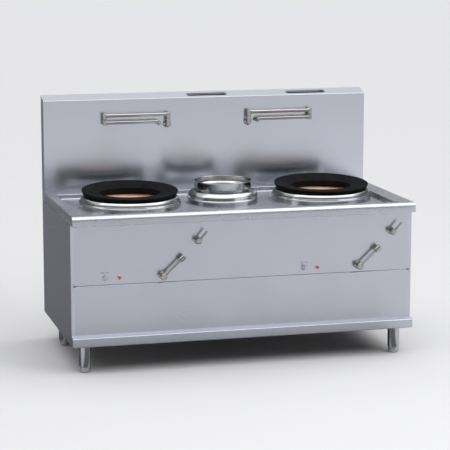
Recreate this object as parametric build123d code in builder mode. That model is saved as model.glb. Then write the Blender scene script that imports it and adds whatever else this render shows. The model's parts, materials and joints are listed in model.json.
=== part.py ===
from build123d import *
from math import cos, radians, sin
import os

# Wok range with two forced-draught wok burners, a stockpot burner, folding taps and a splashback.
# Millimetres. +Z up, the cook stands on the -Y side. The origin is on the floor, at the middle of the plan.

# Overall sizes
WIDTH = 1800
DEPTH = 910
HOB_HEIGHT = 810
SPLASH_FRONT_TOP = 1300
SPLASH_REAR_TOP = 1325
LEFT, RIGHT = -WIDTH / 2, WIDTH / 2
FRONT, BACK = -DEPTH / 2, DEPTH / 2

# Sheet metal
SHEET = 1.5
HOB_SHEET = 2.0
DRUM_SHEET = 2.0
CASING_SHEET = 2.5
BEND = 2.5
GAP = 0.3

# Cabinet
BODY_FRONT = FRONT + 60
CABINET_BOTTOM = 144
HOB_SKIRT = 50
CABINET_TOP = HOB_HEIGHT - HOB_SKIRT
SPLASH_FACE = FRONT + 830
SHELL_FRONT = BACK - 44
SIDE_RETURN = 22
PANEL_FOLD = 20
PANEL_SEAM = 450
SEAM_GAP = 1.6
SEAM_RELIEF_LENGTH, SEAM_RELIEF_HEIGHT = 22, 7
PANEL_HALF = WIDTH / 2 - SIDE_RETURN - 2
LEDGE_REACH = 37.5
LEDGE_HEIGHT = 45
LEDGE_RISE = 11
RAIL = 40
RAIL_WALL = 2
RAIL_INSET = 24

# Hob
HOB_MARGIN = 95
HOB_RECESS = 25
DECK = HOB_HEIGHT - HOB_RECESS
NOSE_RADIUS = 13
SIDE_BEND = 4
RECESS_CORNER = 14
RECESS_RIM, RECESS_ROOT = 3, 5
HOLE_MARGIN = 1.5

# Splashback cap, which slopes up to the back and carries the flue slots
CAP_FOLD = 16
CAP_BEND = 3
SLOT_LENGTH, SLOT_WIDTH = 226, 38
SLOT_XS = (4, 568)
SLOT_FROM_FACE = 39

# Wok stations: drum, seat, ring and fire chamber share these centres
WOK_CENTRES = {"left": (-520, FRONT + 422), "right": (520, FRONT + 422)}
DRUM_RADIUS = 264.5
DRUM_WALL_TOP = 812
SEAT_RADIUS = 250
SEAT_TOP = 840
RING_TILT = 3.3
RING_RIM_HEIGHT = 872
THROAT_RADIUS = 160
THROAT_HEIGHT = 857
LIP_BOTTOM = 829
CASTING = 9
RING_RIBS = 6
RIB_THICKNESS = 8
RIM_ROUND = 3
NOTCH_WIDTH, NOTCH_DEPTH, NOTCH_HEIGHT = 9, 10, 14

# Stockpot station
POT_CENTRE = (-16, FRONT + 445)
POT_DRUM_RADIUS = 188
DOME_TOP = 853
COLLAR_RADIUS = 151.5
COLLAR_BOTTOM = 861
COLLAR_TOP = 903
REGISTER = 8.5

# Fire chambers. The left wok's flue gas heats the stockpot on its way out, the right wok's does not.
CHAMBER_BOTTOM = 640
FLUE_MIDDLE, FLUE_HEIGHT, FLUE_WIDTH = 739, 78, 180
TOWARDS_BACK, TOWARDS_RIGHT, TOWARDS_LEFT = (0, 1, 0), (1, 0, 0), (-1, 0, 0)
BURNER_MOUTH = 100
WOK_CHAMBER = {"casing": 239.5, "chamber": 168, "top": 824, "mouth": BURNER_MOUTH}
POT_CHAMBER = {"casing": 165, "chamber": 122, "top": 800, "mouth": 0}
FUNNEL_HEIGHT, FUNNEL_DRAFT = 70, 14
CHAMBER_FLOOR = 42
CLAY_LIP = 8
DUCT_WALL = 2

# Jet burners
BURNER_RADIUS, BURNER_HEIGHT = 92, 26
JET_CIRCLES = ((70, 10), (38, 5))
JET_RADIUS, JET_HEIGHT, JET_TAPER = 7, 14, 12
MIXER_RADIUS, MIXER_LENGTH = 32, 56

# Taps, on vertical pivots that stand off the splashback
TAP_X = 226
TAP_REACH = 349
TAP_AXIS_Y = SPLASH_FACE - 30
TAP_FLANGE_Z = 1163
TAP_FLANGE_RADIUS, TAP_FLANGE_THICKNESS = 23, 6
TAP_HOLE_RADIUS = 11
UPPER_TUBE_Z = 1216
LOWER_TUBE_Z = 1178
TUBE_RADIUS = 9.5
RISER_RADIUS = 12
ELBOW_RADIUS = 11
ELBOW_CAP = 13
SPIGOT_RADIUS, SPIGOT_LENGTH = 6.0, 24
PIVOT_SPLIT = 1194
ELBOW_SPLIT = 1198
RUNNING_FIT = 0.05
SPOUT_REACH = 286

# Controls: each is placed from the centre of its wok station
GAS_HUB_OFFSET, GAS_HUB_Z = 86, 486
GAS_ROSE_RADIUS, GAS_NECK_RADIUS = 19, 11
GAS_HUB_RADIUS, GAS_SOCKET_RADIUS = 17.5, 6
GAS_LEVER_LENGTH, GAS_LEVER_ANGLE = 131, 42.5
GAS_LEVER_PLANE = BODY_FRONT - 32
GAS_ARM_RADIUS, GAS_ARM_ROOT_RADIUS = 6.5, 9
GRIP_RADIUS, GRIP_LENGTH = 14, 32
WATER_HUB_OFFSET, WATER_HUB_Z = 266, 659
WATER_ROSE_RADIUS, WATER_NECK_RADIUS = 20, 13
WATER_HUB_RADIUS = 15.5
WATER_LEVER_LENGTH, WATER_LEVER_ANGLE = 67, 49
WATER_LEVER_PLANE = BODY_FRONT - 44
WATER_ARM_ROOT_RADIUS, WATER_ARM_TIP_RADIUS = 6.5, 4.5
HUB_DEPTH = 26
STEM_RADIUS = 7.0
VALVE_THREAD_RADIUS, VALVE_THREAD_LENGTH = 12, 46
VALVE_HEX_RADIUS, VALVE_HEX_LENGTH = 19, 36
SWITCH_OFFSET, SWITCH_Z = -207, 490
BEZEL_RADIUS, BEZEL_THICKNESS = 16, 3
KNOB_RADIUS, KNOB_HEIGHT = 13, 11
KNOB_GRIP_WIDTH, KNOB_GRIP_HEIGHT = 6, 10
SPINDLE_RADIUS, SPINDLE_LENGTH = 3, 18
LAMP_OFFSET, LAMP_Z = -133, 487
LAMP_RADIUS, LAMP_BODY_RADIUS, LAMP_DEPTH = 11, 8, 30
LENS_RADIUS = 8.2
THREAD_CLEARANCE = 0.5

# Legs
LEG_X = 826
LEG_YS = {"front": FRONT + 105, "rear": FRONT + 703}
LEG_RADIUS = 31
FOOT_RADIUS = 28
FOOT_HEIGHT = 29.5
FOOT_STEM_RADIUS, FOOT_STEM_LENGTH = 8.0, 62
LEG_PLATE, LEG_PLATE_CORNER, LEG_PLATE_THICKNESS = 78, 6, 3.5
LEG_WALL = 2
LEG_BUSH = 12

# Services, coming up from below at the back
GAS_PIPE_RADIUS = 13.2
WATER_PIPE_RADIUS = 10.5
GAS_INLET = (660, BACK - 115)
WATER_INLET = (-140, BACK - 115)
INLET_BOTTOM = 108
VALVE_Y = BODY_FRONT + 32
GAS_HEADER_Z = 400
GAS_FEED_Z = 615
WATER_HEADER_Y = BODY_FRONT + 75
WATER_RUN_Z = 560
TAP_RUN_Z = 612
BRANCH_RADIUS = 8

# Blowers under the wok burners
BLOWER_RADIUS = 92
BLOWER_GROWTH = 6
BLOWER_WIDTH = 76
BLOWER_WALL = 2.5
BLOWER_Z = 400
BLOWER_OUTLET, BLOWER_OUTLET_TOP = 72, BLOWER_Z + 120
INTAKE_RADIUS = 40
MOTOR_RADIUS, MOTOR_LENGTH = 46, 70
AIR_TUBE_RADIUS = 33

# Panel screws at the ends of the front seam
SCREW_RADIUS, SCREW_SPACING, SCREW_FROM_SIDE = 3.2, 26, 9

os.makedirs("parts", exist_ok=True)


def save(name, part):
    """Label a finished piece and write its STEP file."""
    part.label = name
    export_step(part, f"parts/{name}.step")


def disc(plane, radius):
    """A round sketch on a plane, for an extrusion or a loft."""
    with BuildSketch(plane) as sketch:
        Circle(radius)
    return sketch.sketch


def stub(plane, radius, amount, mode=Mode.ADD):
    """A round boss or hole square to a plane, in the part being built."""
    extrude(disc(plane, radius), amount=amount, mode=mode)


def upright(x, y, bottom, top, radius, mode=Mode.ADD):
    """A vertical round boss or hole between two heights, in the part being built."""
    stub(Plane(origin=(x, y, bottom)), radius, top - bottom, mode)


def on_panel(x, z, depth=0.0):
    """A plane facing the cook, standing off the front panel by depth."""
    return Plane(origin=(x, BODY_FRONT - depth, z), x_dir=(1, 0, 0), z_dir=(0, -1, 0))


def rims(builder, radius):
    """The circular edges of one radius in the part being built."""
    circles = builder.edges().filter_by(GeomType.CIRCLE)
    return circles.filter_by(lambda edge: abs(edge.radius - radius) < 0.01)


def turned(centre, draw_outline):
    """Revolve a half section, drawn as (radius, height), about a station's vertical centre line."""
    x, y = centre
    with BuildSketch(Plane(origin=(x, y, 0), x_dir=(1, 0, 0), z_dir=(0, -1, 0))) as half:
        with BuildLine():
            draw_outline()
        make_face()
    revolve(half.sketch, axis=Axis((x, y, 0), (0, 0, 1)))


def flue_port(centre, towards, reach, inset):
    """Cut a rectangular port from a chamber's centre out through its wall, inset from the duct."""
    with BuildSketch(Plane(origin=(*centre, FLUE_MIDDLE), x_dir=(0, 0, 1), z_dir=towards)) as port:
        Rectangle(FLUE_HEIGHT - 2 * inset, FLUE_WIDTH - 2 * inset)
    extrude(port.sketch, amount=reach, mode=Mode.SUBTRACT)


def flue_duct(start, towards, length):
    """A rectangular duct from a point, open at both ends."""
    with BuildSketch(Plane(origin=start, x_dir=(0, 0, 1), z_dir=towards)) as walls:
        Rectangle(FLUE_HEIGHT + 2 * DUCT_WALL, FLUE_WIDTH + 2 * DUCT_WALL)
        Rectangle(FLUE_HEIGHT, FLUE_WIDTH, mode=Mode.SUBTRACT)
    extrude(walls.sketch, amount=length)


# ---------------------------------------------------------------- cabinet

for side, edge, inward in (("left", LEFT, 1), ("right", RIGHT, -1)):
    with BuildPart() as side_panel:
        with BuildSketch(Plane.XY.offset(CABINET_BOTTOM)):
            with Locations((edge + inward * SIDE_RETURN / 2, (BODY_FRONT + SHELL_FRONT) / 2)):
                Rectangle(SIDE_RETURN, SHELL_FRONT - BODY_FRONT)
        extrude(amount=CABINET_TOP - CABINET_BOTTOM)
        outer_bends = side_panel.edges().filter_by(Axis.Z).sort_by(Axis.X)
        outer_bends = outer_bends[:2] if inward > 0 else outer_bends[-2:]
        fillet(outer_bends, radius=BEND)
        inner_face = side_panel.faces().sort_by(Axis.X)[-1 if inward > 0 else 0]
        offset(amount=-SHEET, openings=inner_face)
        with BuildSketch(on_panel(edge + inward * SIDE_RETURN, PANEL_SEAM)):
            SlotOverall(SEAM_RELIEF_LENGTH, SEAM_RELIEF_HEIGHT)
        extrude(amount=2 * SHEET, both=True, mode=Mode.SUBTRACT)
    save(f"side_panel_{side}", side_panel.part)

with BuildPart() as rear_shell:
    with BuildSketch(Plane.XY.offset(CABINET_BOTTOM)):
        with Locations((0, (SHELL_FRONT + BACK) / 2)):
            Rectangle(WIDTH, BACK - SHELL_FRONT)
    extrude(amount=SPLASH_FRONT_TOP + 8 - CABINET_BOTTOM)
    fillet(rear_shell.edges().filter_by(Axis.Z).group_by(Axis.Y)[-1], radius=BEND)
    open_sides = rear_shell.faces().sort_by(Axis.Y)[0:1] + rear_shell.faces().sort_by(Axis.Z)[-1:]
    offset(amount=-SHEET, openings=open_sides)
save("rear_shell", rear_shell.part)


def tray_panel(bottom, top, holes=()):
    """A front panel with its four edges folded back, open behind, with (x, z, radius) holes."""
    with BuildPart() as tray:
        with BuildSketch(Plane.XZ.offset(-BODY_FRONT)):
            with Locations((0, (bottom + top) / 2)):
                Rectangle(2 * PANEL_HALF, top - bottom)
        extrude(amount=-PANEL_FOLD)
        fillet(tray.faces().sort_by(Axis.Y)[0].edges(), radius=BEND)
        offset(amount=-SHEET, openings=tray.faces().sort_by(Axis.Y)[-1])
        for x, z, radius in holes:
            stub(on_panel(x, z, 5), radius, -10, Mode.SUBTRACT)
    return tray.part


control_holes = []
for station_x, _ in WOK_CENTRES.values():
    control_holes += [
        (station_x + GAS_HUB_OFFSET, GAS_HUB_Z, VALVE_THREAD_RADIUS + THREAD_CLEARANCE),
        (station_x + WATER_HUB_OFFSET, WATER_HUB_Z, WATER_NECK_RADIUS + THREAD_CLEARANCE),
        (station_x + SWITCH_OFFSET, SWITCH_Z, LAMP_BODY_RADIUS + THREAD_CLEARANCE),
        (station_x + LAMP_OFFSET, LAMP_Z, LAMP_BODY_RADIUS + THREAD_CLEARANCE),
    ]
save("lower_panel", tray_panel(CABINET_BOTTOM + 4, PANEL_SEAM - SEAM_GAP / 2))
save("control_panel", tray_panel(PANEL_SEAM + SEAM_GAP / 2, CABINET_TOP - 1, control_holes))

with BuildPart() as bottom_ledge:
    with BuildSketch(Plane.YZ.offset(LEFT)):
        with BuildLine():
            Polyline(
                (BODY_FRONT - GAP, CABINET_BOTTOM),
                (BODY_FRONT - LEDGE_REACH, CABINET_BOTTOM),
                (BODY_FRONT - LEDGE_REACH, CABINET_BOTTOM + LEDGE_HEIGHT),
                (BODY_FRONT - GAP, CABINET_BOTTOM + LEDGE_HEIGHT + LEDGE_RISE),
                close=True,
            )
        make_face()
    extrude(amount=WIDTH)
    nose = bottom_ledge.edges().filter_by(Axis.X).group_by(Axis.Y)[0]
    fillet(nose, radius=4.0)
    offset(amount=-HOB_SHEET, openings=bottom_ledge.faces().sort_by(Axis.Y)[-1])
save("bottom_ledge", bottom_ledge.part)

with BuildPart() as base_rails:
    rail_y = (BODY_FRONT + RAIL_INSET, SHELL_FRONT - RAIL - 4)
    for start_y in rail_y:
        with BuildSketch(Plane.YZ.offset(LEFT + RAIL_INSET)):
            with Locations((start_y + RAIL / 2, CABINET_BOTTOM + 4 + RAIL / 2)):
                Rectangle(RAIL, RAIL)
                Rectangle(RAIL - 2 * RAIL_WALL, RAIL - 2 * RAIL_WALL, mode=Mode.SUBTRACT)
        extrude(amount=WIDTH - 2 * RAIL_INSET)
    for start_x in (LEFT + RAIL_INSET, RIGHT - RAIL_INSET - RAIL):
        with BuildSketch(Plane.XZ.offset(-(rail_y[0] + RAIL + GAP))):
            with Locations((start_x + RAIL / 2, CABINET_BOTTOM + 4 + RAIL / 2)):
                Rectangle(RAIL, RAIL)
                Rectangle(RAIL - 2 * RAIL_WALL, RAIL - 2 * RAIL_WALL, mode=Mode.SUBTRACT)
        extrude(amount=-(rail_y[1] - rail_y[0] - RAIL - 2 * GAP))
save("base_rails", base_rails.part)

# ---------------------------------------------------------------- hob and splashback



def pressed_block(wall):
    """The hob's form drawn in by a wall: a folded block with a rounded nose and a pressed recess."""
    recess_back = SPLASH_FACE - HOB_MARGIN
    recess_front = FRONT + HOB_MARGIN
    recess_middle = (recess_front + recess_back) / 2
    with BuildPart() as block:
        with BuildSketch(Plane.XY.offset(CABINET_TOP)):
            with Locations((0, (FRONT + SHELL_FRONT) / 2)):
                Rectangle(WIDTH - 2 * wall, SHELL_FRONT - FRONT - 2 * wall)
        extrude(amount=HOB_SKIRT - wall)
        front_nose = block.faces().sort_by(Axis.Z)[-1].edges().sort_by(Axis.Y)[0]
        fillet(front_nose, radius=NOSE_RADIUS - wall)
        side_edges = block.faces().sort_by(Axis.Z)[-1].edges().filter_by(Axis.Y)
        fillet(side_edges, radius=SIDE_BEND - wall)
        with BuildSketch(Plane.XY.offset(HOB_HEIGHT - wall)) as recess:
            with Locations((0, recess_middle)):
                length, depth = WIDTH - 2 * HOB_MARGIN + 2 * wall, recess_back - recess_front + 2 * wall
                RectangleRounded(length, depth, RECESS_CORNER + wall)
        extrude(recess.sketch, amount=-HOB_RECESS, mode=Mode.SUBTRACT)
        floor = block.faces().filter_by(lambda face: abs(face.center().Z - DECK + wall) < 0.01)
        fillet(floor.edges(), radius=RECESS_ROOT + wall)
        rim = block.faces().filter_by(lambda face: abs(face.center().Z - HOB_HEIGHT + wall) < 0.01)
        fillet(rim.sort_by(SortBy.AREA)[-1].inner_wires().edges(), radius=RECESS_RIM - wall)
    return block.part


with BuildPart() as hob_top:
    add(pressed_block(0))
    add(pressed_block(HOB_SHEET), mode=Mode.SUBTRACT)
    with BuildSketch(Plane.XY.offset(HOB_HEIGHT + 1)):
        with Locations(*WOK_CENTRES.values()):
            Circle(WOK_CHAMBER["casing"] + HOLE_MARGIN)
        with Locations(POT_CENTRE):
            Circle(POT_CHAMBER["casing"] + HOLE_MARGIN)
    extrude(amount=-(HOB_RECESS + 10), mode=Mode.SUBTRACT)
    with BuildSketch(Plane.XY.offset(HOB_HEIGHT + 1)):
        with Locations((0, SPLASH_FACE + 2)):
            Rectangle(WIDTH - 60, 60, align=(Align.CENTER, Align.MIN))
    extrude(amount=-(HOB_SKIRT + 2), mode=Mode.SUBTRACT)
save("hob_top", hob_top.part)

cap_slope = (SPLASH_REAR_TOP - SPLASH_FRONT_TOP) / (BACK - SPLASH_FACE)
with BuildPart() as splashback_front:
    with BuildSketch(Plane.YZ.offset(LEFT)):
        with BuildLine():
            Polyline(
                (SPLASH_FACE, HOB_HEIGHT + GAP),
                (SPLASH_FACE, SPLASH_FRONT_TOP),
                (BACK, SPLASH_REAR_TOP),
                (BACK, SPLASH_REAR_TOP - CAP_FOLD),
                (SHELL_FRONT - GAP, SPLASH_REAR_TOP - CAP_FOLD),
                (SHELL_FRONT - GAP, HOB_HEIGHT + GAP),
                close=True,
            )
        make_face()
    extrude(amount=WIDTH)
    front_bends = splashback_front.edges().filter_by(Axis.X).group_by(Axis.Y)[0].sort_by(Axis.Z)[-1]
    fillet(front_bends, radius=CAP_BEND)
    hidden = splashback_front.faces().filter_by(Axis.Z) + splashback_front.faces().filter_by(
        lambda f: abs(f.normal_at().Y) > 0.99 and abs(f.center().Y - SHELL_FRONT + GAP) < 0.1
    )
    offset(amount=-SHEET, openings=hidden)
    cap_middle = (SPLASH_FACE + SLOT_FROM_FACE, SPLASH_FRONT_TOP + SLOT_FROM_FACE * cap_slope)
    cap_plane = Plane(origin=(0, *cap_middle), x_dir=(1, 0, 0), z_dir=(0, -cap_slope, 1))
    with BuildSketch(cap_plane):
        with Locations(*[(x, 0) for x in SLOT_XS]):
            SlotOverall(SLOT_LENGTH, SLOT_WIDTH)
    extrude(amount=10, both=True, mode=Mode.SUBTRACT)
    with BuildSketch(Plane.XZ.offset(-SPLASH_FACE + 5)):
        with Locations((-TAP_X, TAP_FLANGE_Z), (TAP_X, TAP_FLANGE_Z)):
            Circle(TAP_HOLE_RADIUS)
    extrude(amount=-10, mode=Mode.SUBTRACT)
save("splashback_front", splashback_front.part)

# ---------------------------------------------------------------- drums, chambers, burners


def bead(radius, top):
    """The half-round swage just under a drum's shoulder."""
    Line((radius, DECK), (radius, top - 6))
    ThreePointArc((radius, top - 6), (radius + 2, top - 3), (radius, top))


def wok_drum_section():
    inner = DRUM_RADIUS - DRUM_SHEET
    skirt = SEAT_RADIUS - 8
    bead(DRUM_RADIUS, DRUM_WALL_TOP)
    shoulder = (SEAT_RADIUS + 1, DRUM_WALL_TOP + 11)
    ThreePointArc((DRUM_RADIUS, DRUM_WALL_TOP), (DRUM_RADIUS - 4, DRUM_WALL_TOP + 8), shoulder)
    Polyline(shoulder, (SEAT_RADIUS, DRUM_WALL_TOP + 12), (SEAT_RADIUS, SEAT_TOP - 3))
    ThreePointArc((SEAT_RADIUS, SEAT_TOP - 3), (SEAT_RADIUS - 4, SEAT_TOP), (skirt, SEAT_TOP - 3))
    Polyline(
        (skirt, SEAT_TOP - 3),
        (skirt, 800),
        (skirt + DRUM_SHEET, 800),
        (skirt + DRUM_SHEET, DRUM_WALL_TOP + 9),
        (SEAT_RADIUS + 1, DRUM_WALL_TOP + 9),
    )
    ThreePointArc(
        (SEAT_RADIUS + 1, DRUM_WALL_TOP + 9), (inner - 3, DRUM_WALL_TOP + 6), (inner, DRUM_WALL_TOP - 1)
    )
    Polyline((inner, DRUM_WALL_TOP - 1), (inner, DECK), (DRUM_RADIUS, DECK))


def pot_drum_section():
    inner = POT_DRUM_RADIUS - DRUM_SHEET
    neck = COLLAR_RADIUS - REGISTER
    bead(POT_DRUM_RADIUS, DRUM_WALL_TOP)
    Line((POT_DRUM_RADIUS, DRUM_WALL_TOP), (POT_DRUM_RADIUS - 2, DRUM_WALL_TOP + 1))
    ThreePointArc(
        (POT_DRUM_RADIUS - 2, DRUM_WALL_TOP + 1), (POT_DRUM_RADIUS - 12, DOME_TOP - 14), (neck + 6, DOME_TOP)
    )
    Polyline(
        (neck + 6, DOME_TOP),
        (neck, DOME_TOP),
        (neck, 806),
        (neck + DRUM_SHEET, 806),
        (neck + DRUM_SHEET, DOME_TOP - 4),
        (neck + 5, DOME_TOP - 3),
    )
    eaves = (POT_DRUM_RADIUS - 5, DRUM_WALL_TOP - 1)
    ThreePointArc((neck + 5, DOME_TOP - 3), (POT_DRUM_RADIUS - 14.5, DOME_TOP - 16), eaves)
    Polyline(eaves, (inner, DRUM_WALL_TOP - 3), (inner, DECK), (POT_DRUM_RADIUS, DECK))


for side, centre in WOK_CENTRES.items():
    with BuildPart() as drum:
        turned(centre, wok_drum_section)
    save(f"drum_{side}", drum.part)

with BuildPart() as drum_middle:
    turned(POT_CENTRE, pot_drum_section)
save("drum_middle", drum_middle.part)


def fire_casing(centre, size, flange, ports):
    """A sheet steel pot hung by a flange under the deck, with its flue ports."""
    outer, inner, mouth = size["casing"], size["casing"] - CASING_SHEET, size["mouth"]
    flange_top = DECK - HOB_SHEET

    def outline():
        Polyline(
            (mouth, CHAMBER_BOTTOM),
            (outer, CHAMBER_BOTTOM),
            (outer, flange_top - CASING_SHEET),
            (flange, flange_top - CASING_SHEET),
            (flange, flange_top),
            (outer, flange_top),
            (outer, size["top"]),
            (inner, size["top"]),
            (inner, CHAMBER_BOTTOM + CASING_SHEET),
            (mouth, CHAMBER_BOTTOM + CASING_SHEET),
            close=True,
        )

    with BuildPart() as casing:
        turned(centre, outline)
        for towards in ports:
            flue_port(centre, towards, outer + 10, 0)
    return casing.part


def refractory(centre, size, ports):
    """The moulded fire-clay lining: a funnel down to the chamber's floor, with its flue ports."""
    outer = size["casing"] - CASING_SHEET - GAP
    chamber, mouth = size["chamber"], size["mouth"]
    bottom = CHAMBER_BOTTOM + CASING_SHEET + GAP
    top = size["top"] - 2

    def outline():
        Polyline(
            (mouth, bottom),
            (outer, bottom),
            (outer, top),
            (chamber + CLAY_LIP, top),
            (chamber, top - CLAY_LIP),
            (chamber - FUNNEL_DRAFT, CHAMBER_BOTTOM + FUNNEL_HEIGHT),
            (max(mouth, chamber / 2) + CLAY_LIP, CHAMBER_BOTTOM + CHAMBER_FLOOR),
            (mouth, CHAMBER_BOTTOM + CHAMBER_FLOOR),
            close=True,
        )

    with BuildPart() as lining:
        turned(centre, outline)
        for towards in ports:
            flue_port(centre, towards, outer + 10, 9)
    return lining.part


def jet_burner(centre):
    """A cast burner head with rings of upright jets over a mixing tube."""
    base = CHAMBER_BOTTOM + 6
    with BuildPart() as burner:
        upright(*centre, base, base + BURNER_HEIGHT, BURNER_RADIUS)
        chamfer(burner.edges().group_by(Axis.Z)[-1], 6)
        for circle_radius, jets in JET_CIRCLES:
            with BuildSketch(Plane.XY.offset(base + BURNER_HEIGHT)):
                with Locations(centre):
                    with PolarLocations(circle_radius, jets):
                        Circle(JET_RADIUS)
            extrude(amount=JET_HEIGHT, taper=JET_TAPER)
        upright(*centre, base - MIXER_LENGTH, base, MIXER_RADIUS)
    return burner.part


WOK_FLANGE = DRUM_RADIUS - 3
POT_FLANGE = POT_DRUM_RADIUS - 3
STATIONS = {
    "left": (WOK_CENTRES["left"], WOK_CHAMBER, WOK_FLANGE, [TOWARDS_RIGHT]),
    "right": (WOK_CENTRES["right"], WOK_CHAMBER, WOK_FLANGE, [TOWARDS_BACK]),
    "middle": (POT_CENTRE, POT_CHAMBER, POT_FLANGE, [TOWARDS_LEFT, TOWARDS_BACK]),
}
for station, (centre, size, flange, ports) in STATIONS.items():
    save(f"fire_casing_{station}", fire_casing(centre, size, flange, ports))
    save(f"refractory_{station}", refractory(centre, size, ports))
for side, centre in WOK_CENTRES.items():
    save(f"burner_{side}", jet_burner(centre))

RISER_FRONT, RISER_BACK = SPLASH_FACE + SHEET + 1.5, BACK - SHEET - 1.5
with BuildPart() as flue_ducts:
    for centre, size in ((WOK_CENTRES["right"], WOK_CHAMBER), (POT_CENTRE, POT_CHAMBER)):
        start_y = centre[1] + size["casing"]
        flue_duct((centre[0], start_y, FLUE_MIDDLE), TOWARDS_BACK, RISER_FRONT - 1 - start_y)
    cross_start = WOK_CENTRES["left"][0] + WOK_CHAMBER["casing"]
    cross_end = POT_CENTRE[0] - POT_CHAMBER["casing"]
    cross_y = WOK_CENTRES["left"][1]
    flue_duct((cross_start, cross_y, FLUE_MIDDLE), TOWARDS_RIGHT, cross_end - cross_start)
save("flue_ducts", flue_ducts.part)

RISER_BASE = FLUE_MIDDLE - FLUE_HEIGHT / 2 - DUCT_WALL
RISER_TOP = SPLASH_FRONT_TOP - 4
with BuildPart() as flue_risers:
    for slot_x in SLOT_XS:
        with BuildSketch(Plane.XY.offset(RISER_BASE)):
            with Locations((slot_x, (RISER_FRONT + RISER_BACK) / 2)):
                inner_length, depth = SLOT_LENGTH + 10, RISER_BACK - RISER_FRONT
                Rectangle(inner_length + 2 * DUCT_WALL, depth)
                Rectangle(inner_length, depth - 2 * DUCT_WALL, mode=Mode.SUBTRACT)
        extrude(amount=RISER_TOP - RISER_BASE)
    for centre in (WOK_CENTRES["right"], POT_CENTRE):
        with BuildSketch(Plane(origin=(centre[0], RISER_FRONT - 1, FLUE_MIDDLE), z_dir=TOWARDS_BACK)):
            Rectangle(FLUE_WIDTH - 40, FLUE_HEIGHT - 4)
        extrude(amount=6, mode=Mode.SUBTRACT)
save("flue_risers", flue_risers.part)

# ---------------------------------------------------------------- tilted wok rings


def wok_ring(centre):
    """A cast ring that seats flat on the drum and holds the wok on a rim tilted towards the cook."""
    x, y = centre
    lean = radians(RING_TILT)

    def rim_plane(height):
        return Plane(origin=(x, y, height), x_dir=(1, 0, 0), z_dir=(0, -sin(lean), cos(lean)))

    def level(height):
        return Plane(origin=(x, y, height))

    with BuildPart() as dish:
        loft([disc(level(THROAT_HEIGHT), THROAT_RADIUS), disc(rim_plane(RING_RIM_HEIGHT), SEAT_RADIUS - 7)])
    with BuildPart() as under_dish:
        loft(
            [
                disc(level(THROAT_HEIGHT - CASTING), THROAT_RADIUS),
                disc(rim_plane(RING_RIM_HEIGHT - CASTING), SEAT_RADIUS),
            ]
        )
    with BuildPart() as hollow:
        loft(
            [
                disc(level(SEAT_TOP), SEAT_RADIUS - 9),
                disc(rim_plane(RING_RIM_HEIGHT - CASTING), SEAT_RADIUS - 9),
            ]
        )
        add(under_dish.part, mode=Mode.SUBTRACT)
        upright(x, y, SEAT_TOP - 5, RING_RIM_HEIGHT + 20, THROAT_RADIUS + 10, Mode.SUBTRACT)
        with Locations((x, y, SEAT_TOP)):
            with PolarLocations(THROAT_RADIUS + 45, RING_RIBS, start_angle=30):
                Box(120, RIB_THICKNESS, 160, mode=Mode.SUBTRACT)
    with BuildPart() as ring:
        loft([disc(level(SEAT_TOP + GAP), SEAT_RADIUS), disc(rim_plane(RING_RIM_HEIGHT), SEAT_RADIUS)])
        fillet(ring.faces().sort_by(Axis.Z)[-1].edges(), radius=RIM_ROUND)
        add(dish.part, mode=Mode.SUBTRACT)
        add(hollow.part, mode=Mode.SUBTRACT)
        upright(x, y, LIP_BOTTOM, SEAT_TOP + 4, THROAT_RADIUS + 10)
        upright(x, y, LIP_BOTTOM - 5, RING_RIM_HEIGHT + 40, THROAT_RADIUS, Mode.SUBTRACT)
        with Locations((x, y - SEAT_RADIUS, SEAT_TOP)):
            Box(NOTCH_WIDTH, NOTCH_DEPTH, NOTCH_HEIGHT, mode=Mode.SUBTRACT)
    return ring.part


for side, centre in WOK_CENTRES.items():
    save(f"wok_ring_{side}", wok_ring(centre))


def collar_section():
    wall = COLLAR_RADIUS - 3
    register = COLLAR_RADIUS - REGISTER - GAP - 0.5
    Polyline(
        (wall, COLLAR_TOP - 3),
        (wall, COLLAR_TOP - 30),
        (wall - 9, COLLAR_TOP - 38),
        (wall - 9, DOME_TOP - 12),
        (register, DOME_TOP - 12),
        (register, DOME_TOP + GAP),
        (COLLAR_RADIUS - 5.5, DOME_TOP + GAP),
        (COLLAR_RADIUS - 5.5, COLLAR_BOTTOM),
        (COLLAR_RADIUS - 1.5, COLLAR_BOTTOM),
        (COLLAR_RADIUS, COLLAR_BOTTOM + 2),
        (COLLAR_RADIUS, COLLAR_TOP - 6),
    )
    rim_edge = (COLLAR_RADIUS, COLLAR_TOP)
    ThreePointArc((COLLAR_RADIUS, COLLAR_TOP - 6), (COLLAR_RADIUS + 2.4, COLLAR_TOP - 3), rim_edge)
    ThreePointArc(rim_edge, (COLLAR_RADIUS - 2, COLLAR_TOP - 0.6), (wall, COLLAR_TOP - 3))


with BuildPart() as pot_collar:
    turned(POT_CENTRE, collar_section)
save("pot_collar", pot_collar.part)

# ---------------------------------------------------------------- legs

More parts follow.
